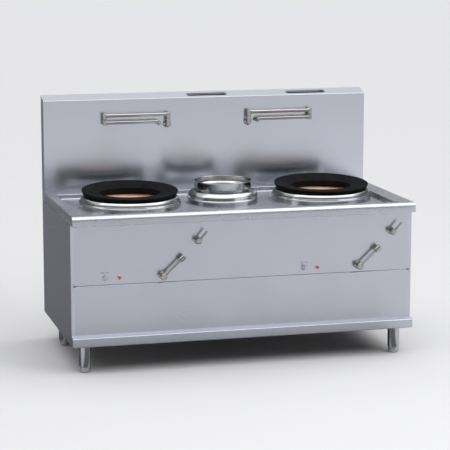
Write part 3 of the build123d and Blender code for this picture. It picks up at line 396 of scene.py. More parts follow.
def principled(name, **values):
    """A material with a Principled shader whose plain values are set by input name."""
    material = bpy.data.materials.new(name)
    material.use_nodes = True
    shader = material.node_tree.nodes["Principled BSDF"]
    for label, value in values.items():
        shader.inputs[label.replace("_", " ")].default_value = value
    return material, material.node_tree, shader


def opaque(rgb):
    """A colour with full alpha."""
    return (*rgb, 1.0)


def darker(rgb, factor):
    """A colour scaled by a factor, with full alpha."""
    return opaque([channel * factor for channel in rgb])


# ---- materials

ALONG_X, ALONG_Y, ALONG_Z = 0, 1, 2


def brushed_steel(name, tone, along, roughness=0.24, lines=1.0, spread=0.5):
    """Belt-brushed stainless sheet, its grain along one axis, which spreads highlights across the grain."""
    fine = 1 / settings().finishes.grain
    stretch = [fine, fine, fine]
    stretch[along] = fine / 180
    material, tree, shader = principled(name, Metallic=1.0, Anisotropic=spread)
    tree.links.new(grain_tangent(tree, "XYZ"[along]), shader.inputs["Tangent"])
    grain = place_group(tree, "Brushed grain", Stretch=stretch)
    smears = place_group(tree, "Smears", Size=4.0)
    wear = place_group(tree, "Edge wear", Width=0.8 * MM)
    tint = mixed_colour(tree, grain.outputs["Shade"], darker(tone, 0.97), darker(tone, 1.03))
    tree.links.new(tint, shader.inputs["Base Color"])
    lively = maths(tree, "ADD", roughness - 0.02, maths(tree, "MULTIPLY", grain.outputs["Shade"], 0.04))
    rough = maths(tree, "ADD", lively, maths(tree, "MULTIPLY", smears.outputs["Mask"], 0.03))
    tree.links.new(rough, shader.inputs["Roughness"])
    normal = bumped(tree, grain.outputs["Height"], 0.03 * lines, 0.05 * MM, wear.outputs["Normal"])
    tree.links.new(normal, shader.inputs["Normal"])
    return material


def spun_steel(name, tone, axis, roughness=0.15):
    """Polished stainless, spun about a station's vertical axis."""
    material, tree, shader = principled(name, Metallic=1.0, Anisotropic=0.4)
    grain = place_group(tree, "Turned grain", Axis=(axis.x, axis.y, 0.0))
    smears = place_group(tree, "Smears", Size=9.0)
    tint = mixed_colour(tree, grain.outputs["Shade"], darker(tone, 0.96), darker(tone, 1.04))
    tree.links.new(tint, shader.inputs["Base Color"])
    lively = maths(tree, "ADD", roughness - 0.02, maths(tree, "MULTIPLY", grain.outputs["Shade"], 0.04))
    rough = maths(tree, "ADD", lively, maths(tree, "MULTIPLY", smears.outputs["Mask"], 0.03))
    tree.links.new(rough, shader.inputs["Roughness"])
    tree.links.new(bumped(tree, grain.outputs["Height"], 0.02, 0.05 * MM), shader.inputs["Normal"])
    tree.links.new(grain_tangent(tree, "Z"), shader.inputs["Tangent"])
    return material


def blacked_iron(name, tone):
    """Cast iron with a baked black finish, worn grey along its edges."""
    material, tree, shader = principled(name, Metallic=0.0, Specular_IOR_Level=0.02)
    skin = place_group(tree, "Cast skin")
    wear = place_group(tree, "Edge wear", Width=1.8 * MM, Breakup=90.0)
    smears = place_group(tree, "Smears", Size=14.0)
    base = mixed_colour(tree, smears.outputs["Mask"], opaque(tone), darker(tone, 1.9))
    worn = mixed_colour(tree, maths(tree, "MULTIPLY", wear.outputs["Mask"], 0.35), base, (0.05, 0.05, 0.052, 1.0))
    tree.links.new(worn, shader.inputs["Base Color"])
    rough = remap(tree, skin.outputs["Height"], 0.3, 1.0, 0.50, 0.70)
    tree.links.new(rough, shader.inputs["Roughness"])
    normal = bumped(tree, skin.outputs["Height"], 0.35, 0.25 * MM, wear.outputs["Normal"])
    tree.links.new(normal, shader.inputs["Normal"])
    return material


def fired_clay(name, tone):
    """Moulded refractory: chalky, speckled with grog, and cloudy."""
    material, tree, shader = principled(name, Roughness=0.9, Specular_IOR_Level=0.2)
    skin = place_group(tree, "Cast skin", Grit=500.0, Waves=22.0)
    smears = place_group(tree, "Smears", Size=11.0)
    speckle = mixed_colour(tree, skin.outputs["Pits"], opaque(tone), darker(tone, 0.55))
    base = mixed_colour(tree, maths(tree, "MULTIPLY", smears.outputs["Mask"], 0.5), speckle, darker(tone, 1.25))
    tree.links.new(base, shader.inputs["Base Color"])
    tree.links.new(bumped(tree, skin.outputs["Height"], 0.6, 0.8 * MM), shader.inputs["Normal"])
    return material


def mill_steel(name, tone, roughness=0.42):
    """Unpolished mill-finish sheet, dull and slightly clouded."""
    material, tree, shader = principled(name, Metallic=1.0)
    smears = place_group(tree, "Smears", Size=16.0)
    wear = place_group(tree, "Edge wear", Width=0.8 * MM)
    cloud = noise(tree, on_surface(tree), 45.0, 6.0, 0.65)
    tint = mixed_colour(tree, cloud, darker(tone, 0.78), darker(tone, 1.15))
    tree.links.new(tint, shader.inputs["Base Color"])
    rough = maths(tree, "ADD", roughness, maths(tree, "MULTIPLY", smears.outputs["Mask"], 0.12))
    tree.links.new(rough, shader.inputs["Roughness"])
    tree.links.new(bumped(tree, cloud, 0.1, 0.1 * MM, wear.outputs["Normal"]), shader.inputs["Normal"])
    return material


def plated(name, tone, roughness=0.08):
    """Bright chrome plate with faint water marks."""
    material, tree, shader = principled(name, Metallic=1.0, Base_Color=opaque(tone))
    smears = place_group(tree, "Smears", Size=38.0)
    marks = noise(tree, on_surface(tree), 700.0, 2.0, 0.5)
    rough = maths(tree, "ADD", roughness, maths(tree, "MULTIPLY", smears.outputs["Mask"], 0.07))
    tree.links.new(rough, shader.inputs["Roughness"])
    tree.links.new(bumped(tree, marks, 0.02, 0.05 * MM), shader.inputs["Normal"])
    return material


def cast_alloy(name, tone):
    """Sand-cast aluminium of the fan housings."""
    material, tree, shader = principled(name, Metallic=1.0)
    skin = place_group(tree, "Cast skin", Grit=700.0, Waves=60.0)
    tint = mixed_colour(tree, skin.outputs["Height"], darker(tone, 0.8), darker(tone, 1.1))
    tree.links.new(tint, shader.inputs["Base Color"])
    tree.links.new(remap(tree, skin.outputs["Height"], 0.3, 1.0, 0.45, 0.65), shader.inputs["Roughness"])
    tree.links.new(bumped(tree, skin.outputs["Height"], 0.4, 0.3 * MM), shader.inputs["Normal"])
    return material


def lamp_lens(name, tone):
    """Clear red lens with a moulded prism pattern over its reflector."""
    material, tree, shader = principled(
        name, Coat_Weight=1.0, Coat_Roughness=0.04, Specular_IOR_Level=0.6, Emission_Strength=0.25
    )
    prism = tree.nodes.new("ShaderNodeTexVoronoi")
    prism.inputs["Scale"].default_value = 520.0
    tree.links.new(on_surface(tree), prism.inputs["Vector"])
    base = mixed_colour(tree, prism.outputs["Distance"], darker(tone, 1.5), darker(tone, 0.5))
    tree.links.new(base, shader.inputs["Base Color"])
    tree.links.new(base, shader.inputs["Emission Color"])
    tree.links.new(remap(tree, prism.outputs["Distance"], 0.0, 1.0, 0.10, 0.25), shader.inputs["Roughness"])
    tree.links.new(bumped(tree, prism.outputs["Distance"], 0.3, 0.2 * MM), shader.inputs["Normal"])
    return material


def printed_ink(name, tone):
    """Screen-printed ink, slightly uneven."""
    material, tree, shader = principled(name, Roughness=0.5)
    thin = noise(tree, on_surface(tree), 900.0, 2.0, 0.6)
    tree.links.new(mixed_colour(tree, thin, opaque(tone), darker(tone, 1.6)), shader.inputs["Base Color"])
    return material


FINISHES = {}


def finish(name):
    """A named finish, made the first time that it is asked for."""
    look = settings().finishes
    steel, bright = look.steel, look.bright_steel
    makers = {
        "panel_steel": lambda: brushed_steel(name, steel, ALONG_X),
        "side_steel": lambda: brushed_steel(name, steel, ALONG_Y),
        "rear_steel": lambda: brushed_steel(name, steel, ALONG_Z),
        "hob_steel": lambda: brushed_steel(name, darker(steel, 1.03)[:3], ALONG_X, 0.27, 0.6, 0.8),
        # The splashback's steel is the sheet steel painted 16 % lighter: painted light for the brighter reflections
        # that it shows.
        "splash_steel": lambda: brushed_steel(name, darker(steel, 1.16)[:3], ALONG_X, 0.19, 0.8, 0.4),
        "leg_steel": lambda: brushed_steel(name, darker(bright, 1.0)[:3], ALONG_Z, 0.16),
        "casing_steel": lambda: mill_steel(name, [0.42, 0.42, 0.43]),
        "pipe_steel": lambda: mill_steel(name, [0.55, 0.55, 0.56], 0.3),
        "cast_iron": lambda: blacked_iron(name, look.cast_iron),
        "fire_clay": lambda: fired_clay(name, look.fire_clay),
        # The chrome of the taps and levers is given a darker tone than the bezels' plate: painted shade for their dark
        # reflections.
        "chrome": lambda: plated(name, [0.37, 0.36, 0.355], 0.12),
        "bezel_steel": lambda: plated(name, [0.62, 0.62, 0.63], 0.2),
        "fan_casting": lambda: cast_alloy(name, [0.55, 0.55, 0.56]),
        "knob_silver": lambda: plated(name, [0.50, 0.50, 0.51], 0.22),
        "red_lens": lambda: lamp_lens(name, look.lamp_red),
        "label_ink": lambda: printed_ink(name, [0.03, 0.03, 0.035]),
        "pointer_ink": lambda: printed_ink(name, [0.03, 0.03, 0.03]),
        "drum_left": lambda: spun_steel(name, bright, WOK_AXES["left"]),
        "drum_right": lambda: spun_steel(name, bright, WOK_AXES["right"]),
        "drum_middle": lambda: spun_steel(name, bright, POT_AXIS),
    }
    if name not in FINISHES:
        FINISHES[name] = makers[name]()
    return FINISHES[name]


def dress(node, name):
    """Give a carried-over node its finish."""
    mesh = frame["nodes"][node].data
    mesh.materials.clear()
    mesh.materials.append(finish(name))


# ---- mesh helpers


def placed(name, data):
    """An object with its data, linked to the scene."""
    item = bpy.data.objects.new(name, data)
    bpy.context.scene.collection.objects.link(item)
    return item


def evaluated(data, kind=None, **values):
    """The mesh that a passing object makes of its data, with one modifier where a kind is given."""
    carrier = placed("carrier", data)
    if kind:
        modifier = carrier.modifiers.new(kind, kind)
        for name, value in values.items():
            setattr(modifier, name, value)
    bpy.context.view_layer.update()
    mesh = bpy.data.meshes.new_from_object(carrier.evaluated_get(bpy.context.evaluated_depsgraph_get()))
    bpy.data.objects.remove(carrier)
    return mesh


def keep(name, form, body, finish_name, replaces=None, crease=32):
    """Turn a bmesh or a mesh into a piece of the range that rides on one body."""
    mesh = finished(name, form) if isinstance(form, bmesh.types.BMesh) else form
    mesh.name = name
    mesh.materials.append(finish(finish_name))
    mesh.shade_smooth()
    mesh.set_sharp_from_angle(angle=math.radians(crease))
    piece = placed(name, mesh)
    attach(piece, body)
    if replaces:
        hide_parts(replaces)


def soften(corners, closed=False, steps=4):
    """Round the corners of an outline. Each is (x, y[, lean], radius) in millimetres."""
    points = []
    for index, (*place, radius) in enumerate(corners):
        here = Vector((*place, 0.0)[:3])
        if radius == 0 or (not closed and index in (0, len(corners) - 1)):
            points.append(here)
            continue
        before = Vector((*corners[index - 1][:-1], 0.0)[:3]) - here
        after = Vector((*corners[(index + 1) % len(corners)][:-1], 0.0)[:3]) - here
        half = before.xy.angle(after.xy) / 2
        reach = min(radius / math.tan(half), before.length * 0.48, after.length * 0.48)
        start = here + before.normalized() * reach
        end = here + after.normalized() * reach
        for step in range(steps + 1):
            t = step / steps
            points.append(start * (1 - t) ** 2 + here * (2 * t * (1 - t)) + end * t**2)
    return points


def band(bm, lower, upper):
    """Faces between two rings of vertices, either of which may be a single point."""
    count = max(len(lower), len(upper))
    for step in range(count if count > 1 else 0):
        after = (step + 1) % count
        if len(lower) == 1:
            bm.faces.new((lower[0], upper[after], upper[step]))
        elif len(upper) == 1:
            bm.faces.new((lower[step], lower[after], upper[0]))
        else:
            bm.faces.new((lower[step], lower[after], upper[after], upper[step]))


def turned_into(bm, outline, place, axis=UP, segments=64, closed=False, tilt=0.0):
    """Turn an outline of (radius, height, lean) in millimetres about an axis, into a bmesh.

    A point's lean raises it with the slope of the tilt, more towards the back.
    """
    axis = Vector(axis)
    frame_turn = Matrix.Identity(3) if axis == UP else axis.to_track_quat("Z", "Y").to_matrix()
    slope = math.tan(tilt)
    rings = []
    for radius, height, lean in outline:
        if radius < 0.01:
            rings.append([bm.verts.new(Vector(place) + frame_turn @ Vector((0, 0, height * MM)))])
            continue
        ring = []
        for step in range(segments):
            angle = math.tau * step / segments
            out = Vector((math.cos(angle), math.sin(angle), 0)) * radius
            rise = height + lean * slope * out.y
            ring.append(bm.verts.new(Vector(place) + frame_turn @ (Vector((out.x, out.y, rise)) * MM)))
        rings.append(ring)
    pairs = list(zip(rings, rings[1:]))
    if closed:
        pairs.append((rings[-1], rings[0]))
    for lower, upper in pairs:
        band(bm, lower, upper)


def block_into(bm, low, high, bevel=0.0):
    """A bevelled block between two corners, into a bmesh."""
    low, high = Vector(low), Vector(high)
    made = bmesh.ops.create_cube(bm, size=1.0)["verts"]
    bmesh.ops.scale(bm, vec=high - low, verts=made)
    bmesh.ops.translate(bm, vec=(low + high) / 2, verts=made)
    if bevel:
        edges = list({edge for vert in made for edge in vert.link_edges})
        bmesh.ops.bevel(bm, geom=edges, offset=bevel, segments=3, affect="EDGES", profile=0.7)


def finished(name, bm):
    """A mesh from a bmesh, its faces turned outwards."""
    bmesh.ops.remove_doubles(bm, verts=bm.verts, dist=1e-7)
    bmesh.ops.recalc_face_normals(bm, faces=bm.faces)
    mesh = bpy.data.meshes.new(name)
    bm.to_mesh(mesh)
    bm.free()
    return mesh


def turned(name, outline, place, axis=UP, segments=64, closed=False, tilt=0.0):
    """A turned mesh on its own."""
    bm = bmesh.new()
    turned_into(bm, outline, place, axis, segments, closed, tilt)
    return finished(name, bm)


def carved(mesh, low, high):
    """A mesh with a block cut out of it."""
    bm = bmesh.new()
    block_into(bm, low, high)
    cutter = placed("cutter", finished("cutter", bm))
    result = evaluated(mesh, "BOOLEAN", object=cutter, operation="DIFFERENCE", solver="EXACT")
    bpy.data.objects.remove(cutter)
    return result


def tube_into(bm, route, radius, sides):
    """A round tube along a route of points, into a bmesh, with its ends closed."""
    across = None
    rings = []
    for index, point in enumerate(route):
        ahead = route[min(index + 1, len(route) - 1)] - route[max(index - 1, 0)]
        ahead.normalize()
        if across is None:
            across = ahead.orthogonal().normalized()
        across = (across - ahead * across.dot(ahead)).normalized()
        side = ahead.cross(across)
        angles = [math.tau * step / sides for step in range(sides)]
        rings.append([bm.verts.new(point + (across * math.cos(a) + side * math.sin(a)) * radius) for a in angles])
    for lower, upper in zip(rings, rings[1:]):
        band(bm, lower, upper)
    for ring in (rings[0], rings[-1]):
        bm.faces.new(ring)


def button_screw_into(bm, place, axis, radius, depth):
    """A low domed screw head with a round socket, into a bmesh. Sizes in millimetres."""
    outline = soften(
        [
            (0, depth * 0.35, 0), (radius * 0.42, depth * 0.35, 0), (radius * 0.46, depth * 0.95, radius * 0.05),
            (radius * 0.72, depth * 0.85, radius * 0.4), (radius, 0.0, radius * 0.1), (0, 0.0, 0),
        ],
        steps=2,
    )
    turned_into(bm, outline, place, axis, 24)


# ---- cabinet


CABINET_FINISHES = {
    "panel_steel": ("control_panel", "lower_panel", "bottom_ledge"),
    "rear_steel": ("rear_shell",),
    "side_steel": ("side_panel_left", "side_panel_right"),
    "splash_steel": ("splashback_front",),
    "casing_steel": ("base_rails", "flue_ducts", "flue_risers") + tuple(
        f"fire_casing_{station}" for station in ("left", "right", "middle")
    ),
    "pipe_steel": ("gas_pipes", "water_pipes", "tap_pipes"),
    "fire_clay": ("refractory_left", "refractory_right", "refractory_middle"),
    "fan_casting": ("blowers",),
    "leg_steel": tuple(f"leg_{end}_{side}" for end in ("front", "rear") for side in SIDES),
}


class WOKRANGE_OT_cabinet(bpy.types.Operator):
    """Finish the folded sheet metal, the rails, the ducts and the linings"""

    bl_idname = "wokrange.cabinet"
    bl_label = "Cabinet"

    def execute(self, context):
        for name, nodes in CABINET_FINISHES.items():
            for node in nodes:
                dress(node, name)
        self.corners()
        return {"FINISHED"}

    def corners(self):
        """Dressed welds that close the corners between the side returns and the front panels."""
        lower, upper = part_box("lower_panel"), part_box("control_panel")
        half, proud, deep = 4.2 * MM, 0.05 * MM, 1 * MM
        bm = bmesh.new()
        for x in (lower[0].x - 1 * MM, lower[1].x + 1 * MM):
            for bottom, top in ((lower[0].z, lower[1].z - 4 * MM), (upper[0].z + 4 * MM, upper[1].z)):
                block_into(bm, (x - half, PANEL_FACE - proud, bottom), (x + half, PANEL_FACE + deep, top))
        seam_low, seam_high = lower[1].z + 0.3 * MM, upper[0].z - 0.3 * MM
        block_into(bm, (lower[0].x + 3 * MM, PANEL_FACE + 0.9 * MM, seam_low),
                   (lower[1].x - 3 * MM, PANEL_FACE + 4 * MM, seam_high))
        keep("corner_welds", bm, "range_frame", "panel_steel")


# ---- hob


def rounded_rectangle(low, high, radius, height, steps=6):
    """Corners of a level rounded rectangle, in millimetres."""
    points = []
    spots = ((high[0], high[1], -1, -1), (low[0], high[1], 1, -1), (low[0], low[1], 1, 1), (high[0], low[1], -1, 1))
    for quarter, (x, y, right, up) in enumerate(spots):
        for step in range(steps + 1):
            angle = math.pi / 2 * (quarter + step / steps)
            centre = (x + right * radius, y + up * radius)
            points.append((centre[0] + radius * math.cos(angle), centre[1] + radius * math.sin(angle), height))
    return points


def bent(radius, rise):
    """How far a bend of a radius has drawn in, at a rise from where it begins."""
    rise = min(max(rise, 0), radius)
    return radius - math.sqrt(radius**2 - rise**2)


def flat_between(bm, loops):
    """Fill the level sheet between closed loops of points."""
    edges = []
    for loop in loops:
        edges += [bm.edges.get(pair) or bm.edges.new(pair) for pair in zip(loop, loop[1:] + loop[:1])]
    bmesh.ops.triangle_fill(bm, use_beauty=True, edges=edges, normal=UP)


class WOKRANGE_OT_hob(bpy.types.Operator):
    """Press the hob: hemmed skirt, rounded nose, flat margin, recess and the three openings of its deck"""

    bl_idname = "wokrange.hob"
    bl_label = "Hob"

    def execute(self, context):
        low, high = (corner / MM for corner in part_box("hob_top"))
        hob = settings().hob
        nose, bend, sheet = hob.nose / MM, 4, 2
        bm = bmesh.new()
        levels = [(0, 3, 2.2), (0.9, 0.9, 0.9), (2.4, 0, 0), (4.6, 0, 0), (6, 0, 0.9), (8, 0, 1)]
        turn = [math.sin(math.radians(angle)) for angle in range(0, 91, 9)]
        top = high.z - low.z
        levels += [
            (top - nose + nose * rise, bent(nose, nose * rise), 1 + bent(bend, nose * rise - nose + bend))
            for rise in turn
        ]
        levels.append((top, nose + 1.5, 1 + bend + 1.5))
        loops = [
            rounded_rectangle((low.x + side, low.y + front), (high.x - side, high.y), 2, low.z + rise)
            for rise, front, side in levels
        ]
        margin = 95
        recess_low = (low.x + hob.left_margin / MM, low.y + hob.front_margin / MM)
        recess_high = (high.x - margin, SPLASH_FACE / MM - margin)
        rim, root, deck, corner = 3, 5, DECK / MM, 14
        section = [(rim + 1.5, high.z)]
        quarter = [math.radians(angle) for angle in range(0, 91, 15)]
        section += [(rim * (1 - math.sin(angle)), high.z - rim * (1 - math.cos(angle))) for angle in quarter]
        section += [(-root * (1 - math.cos(angle)), deck + root * (1 - math.sin(angle))) for angle in quarter]
        section.append((-root - 1.5, deck))
        inner = [
            rounded_rectangle(
                (recess_low[0] - out, recess_low[1] - out), (recess_high[0] + out, recess_high[1] + out),
                corner + out, height,
            )
            for out, height in section
        ]
        outer_rings, inner_rings = (self.skin(bm, group) for group in (loops, inner))
        flat_between(bm, [outer_rings[-1], inner_rings[0]])
        holes = []
        for node in ("drum_left", "drum_middle", "drum_right"):
            axis, wall = centre_of(node) / MM, size_of(node).x / MM / 2
            radius = wall - 25
            angles = [math.tau * step / 96 for step in range(96)]
            spots = [(axis.x + radius * math.cos(a), axis.y + radius * math.sin(a), deck) for a in angles]
            holes.append([bm.verts.new(Vector(spot) * MM) for spot in spots])
        flat_between(bm, [inner_rings[-1], *holes])
        self.notch(bm, (high.x - 30) * MM, SPLASH_FACE + 2 * MM)
        mesh = evaluated(finished("hob_pressed", bm), "SOLIDIFY", thickness=sheet * MM, offset=-1)
        keep("hob_pressed", mesh, "range_frame", "hob_steel", "hob_top")
        return {"FINISHED"}

    def skin(self, bm, group):
        """Bands of faces between loops that follow one another."""
        rings = [[bm.verts.new(Vector(point) * MM) for point in points] for points in group]
        for lower, upper in zip(rings, rings[1:]):
            band(bm, lower, upper)
        return rings

    def notch(self, bm, half, start):
        """Cut away what would stand in the flue risers' way, behind the splashback's face."""
        for place, direction in (((0, start, 0), (0, 1, 0)), ((half, 0, 0), (1, 0, 0)), ((-half, 0, 0), (1, 0, 0))):
            everything = bm.verts[:] + bm.edges[:] + bm.faces[:]
            bmesh.ops.bisect_plane(bm, geom=everything, plane_co=place, plane_no=direction)
        middles = [(face, face.calc_center_median()) for face in bm.faces]
        spare = [face for face, middle in middles if middle.y > start and abs(middle.x) < half]
        bmesh.ops.delete(bm, geom=spare, context="FACES")


# ---- drums and collar


def wok_drum_outline(wall, seat):
    """Section of a wok drum, in millimetres from the deck: wall, bead, shoulder, groove and rolled seat."""
    sheet = 2.0
    skirt = seat - 8
    return soften(
        [
            (wall, 0, 0), (wall, 20.5, 1.5), (wall + 2, 24, 2.4), (wall, 27, 0.8), (wall - 0.4, 32.2, 3.2),
            (seat + 7.4, 34.4, 1.2), (seat + 3.4, 35.4, 1), (seat + 3.4, 38.4, 1), (seat + 7.6, 40.4, 1.4),
            (seat + 0.5, 51, 3), (seat - 5, 55, 3), (seat - 16, 54.9, 1), (seat - 16, 52, 1),
            (skirt, 40, 2), (skirt, 15, 0.5), (skirt + sheet, 15, 0.5), (skirt + sheet, 33, 2), (wall - 4, 30, 3), (wall - sheet, 24, 2),
            (wall - sheet, 0, 0),
        ],
        closed=True,
    )


def pot_drum_outline(wall, neck):
    """Section of the stockpot drum, in millimetres from the deck: wall, bead and round shoulder."""
    sheet = 2.0
    return soften(
        [
            (wall, 0, 0), (wall, 20.5, 1.5), (wall + 2, 24, 2.4), (wall, 27, 0.8), (wall - 2.4, 28.4, 1.2),
            (wall - 3.4, 44, 14), (wall - 14, 62, 26), (neck + 9, 68, 12), (neck, 67.6, 1.2), (neck, 21, 0.5),
            (neck + sheet, 21, 0.5), (neck + sheet, 64, 2), (wall - 17, 59, 20), (wall - 5.5, 43, 12),
            (wall - sheet, 24, 2), (wall - sheet, 0, 0),
        ],
        closed=True,
        steps=6,
    )


class WOKRANGE_OT_drums(bpy.types.Operator):
    """Spin the two wok drums and the stockpot drum, with their sealing beads on the deck"""

    bl_idname = "wokrange.drums"
    bl_label = "Drums"

    def execute(self, context):
        stations = settings().stations
        seat = stations.seat_radius / MM
        neck = stations.collar_radius / MM - 8.5
        for station in ("left", "right", "middle"):
            node = f"drum_{station}"
            wall = size_of(node).x / MM / 2 - 2
            axis = centre_of(node)
            outline = pot_drum_outline(wall, neck) if station == "middle" else wok_drum_outline(wall, seat)
            place = (axis.x, axis.y, DECK)
            mesh = turned(f"{node}_spun", outline, place, segments=stations.segments, closed=True)
            keep(f"{node}_spun", mesh, "range_frame", node, node)
        return {"FINISHED"}


def collar_outline(outer):
    """Section of the stockpot collar, in millimetres from its rolled rim's top."""
    wall = outer - 3
    return soften(
        [
            (wall, -3, 0.8), (wall, -30, 4), (wall - 9, -38, 4), (wall - 9, -62, 0.6),
            (outer - 8.8, -62, 0.6), (outer - 8.8, -49.7, 0), (outer - 5.5, -49.7, 0.6), (outer - 5.5, -42, 0.8),
            (outer - 1.2, -42, 1.2), (outer, -38, 1.6), (outer, -6.4, 0.8), (outer + 2.4, -3.4, 2.2),
            (outer + 1.2, -0.1, 1.8), (wall + 0.6, -0.1, 1.6),
        ],
        closed=True,
    )


class WOKRANGE_OT_pot_collar(bpy.types.Operator):
    """Spin the lift-off stockpot collar"""

    bl_idname = "wokrange.pot_collar"
    bl_label = "Stockpot collar"

    def execute(self, context):
        stations = settings().stations
        place = (POT_AXIS.x, POT_AXIS.y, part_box("pot_collar")[1].z)
        outline = collar_outline(stations.collar_radius / MM)
        mesh = turned("pot_collar_spun", outline, place, segments=stations.segments, closed=True)
        keep("pot_collar_spun", mesh, "pot_collar", "drum_middle", "pot_collar")
        return {"FINISHED"}


# ---- cast wok rings


def ring_outline(seat, throat):
    """Section of a wok ring, in millimetres from its seat: tapered wall, tilted rim, dish, throat and lip."""
    foot = seat - 12
    return soften(
        [
            (foot, 0.3, 0, 0.8), (seat, 28, 0.96, 2), (seat, 32, 1, 2.5), (seat - 7, 32, 1, 1.4), (throat, 17, 0, 1.5),
            (throat, -11, 0, 0.8), (throat + 10, -11, 0, 0.8), (throat + 10, 8, 0, 2), (foot - 5, 22, 1, 4),
            (foot - 9, 0.3, 0, 0.8),
        ],
        closed=True,
    )


class WOKRANGE_OT_wok_rings(bpy.types.Operator):
    """Cast the two wok rings, each with its tilted rim, ribs underneath and a notch at the front"""

    bl_idname = "wokrange.wok_rings"
    bl_label = "Wok rings"

    def execute(self, context):
        stations = settings().stations
        seat, throat = stations.seat_radius / MM, stations.throat_radius / MM
        for side in SIDES:
            node = f"wok_ring_{side}"
            axis = WOK_AXES[side]
            place = Vector((axis.x, axis.y, SEAT_TOP))
            bm = bmesh.new()
            turned_into(bm, ring_outline(seat, throat), place, segments=stations.segments, closed=True,
                        tilt=stations.ring_tilt)
            mesh = finished(f"{node}_cast", bm)
            front = axis.y - stations.seat_radius
            low = (axis.x - 4.5 * MM, front - 5 * MM, SEAT_TOP - 7 * MM)
            high = (axis.x + 4.5 * MM, front + 12 * MM, SEAT_TOP + 7 * MM)
            mesh = carved(mesh, low, high)
            keep(f"{node}_cast", mesh, node, "cast_iron", node)
            ribs = bmesh.new()
            for rib in range(6):
                self.rib(ribs, place, math.radians(30 + 60 * rib), throat, seat, math.tan(stations.ring_tilt))
            keep(f"{node}_ribs", ribs, node, "cast_iron")
        return {"FINISHED"}

    def rib(self, bm, place, angle, throat, seat, slope):
        """One rib under the dish, from the lip to the outer wall."""
        out, across = Vector((math.cos(angle), math.sin(angle), 0)), Vector((-math.sin(angle), math.cos(angle), 0))
        ends = ((throat + 8, 2, 12), (seat - 17, 2, 24 + slope * (seat - 17) * out.y))
        corners = [
            [bm.verts.new(place + (out * radius + across * shift + UP * height) * MM) for shift in (-4, 4)]
            for radius, bottom, top in ends
            for height in (bottom, top)
        ]
        (a, b), (c, d), (e, f), (g, h) = corners
        for face in ((a, b, d, c), (e, f, h, g), (a, b, f, e), (c, d, h, g), (a, c, g, e), (b, d, h, f)):
            bm.faces.new(face)


# ---- burners


def jet_outline(height):
    """Section of one drilled jet, in millimetres from the burner's face."""
    return soften(
        [(0, height - 6, 0), (2.2, height - 6, 0), (2.6, height, 0.4), (4.2, height, 1), (7, 0, 0), (6.5, -2, 0)],
        steps=2,
    )


class WOKRANGE_OT_burners(bpy.types.Operator):
    """Cast the burner heads with their rings of drilled jets"""

    bl_idname = "wokrange.burners"
    bl_label = "Burners"

    def execute(self, context):
        for side in SIDES:
            node = f"burner_{side}"
            low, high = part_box(node)
            axis = (low + high) / 2
            radius = (high.x - low.x) / MM / 2
            face = high.z - 14 * MM
            body = soften(
                [
                    (0, 0, 0), (radius - 16, 0, 3), (radius - 12, 2.0, 3), (radius, -1, 8), (radius, -26, 1.5),
                    (32, -26, 3), (32, -82, 1), (0, -82, 0),
                ]
            )
            bm = bmesh.new()
            turned_into(bm, body, (axis.x, axis.y, face), segments=96)
            for circle, jets in ((70, 10), (38, 5)):
                for jet in range(jets):
                    angle = math.tau * jet / jets
                    spot = Vector((axis.x, axis.y, face)) + Vector((math.cos(angle), math.sin(angle), 0)) * circle * MM
                    turned_into(bm, jet_outline(14), spot, segments=24)
            keep(f"{node}_head", bm, "range_frame", "cast_iron", node, crease=40)
        return {"FINISHED"}


# ---- taps


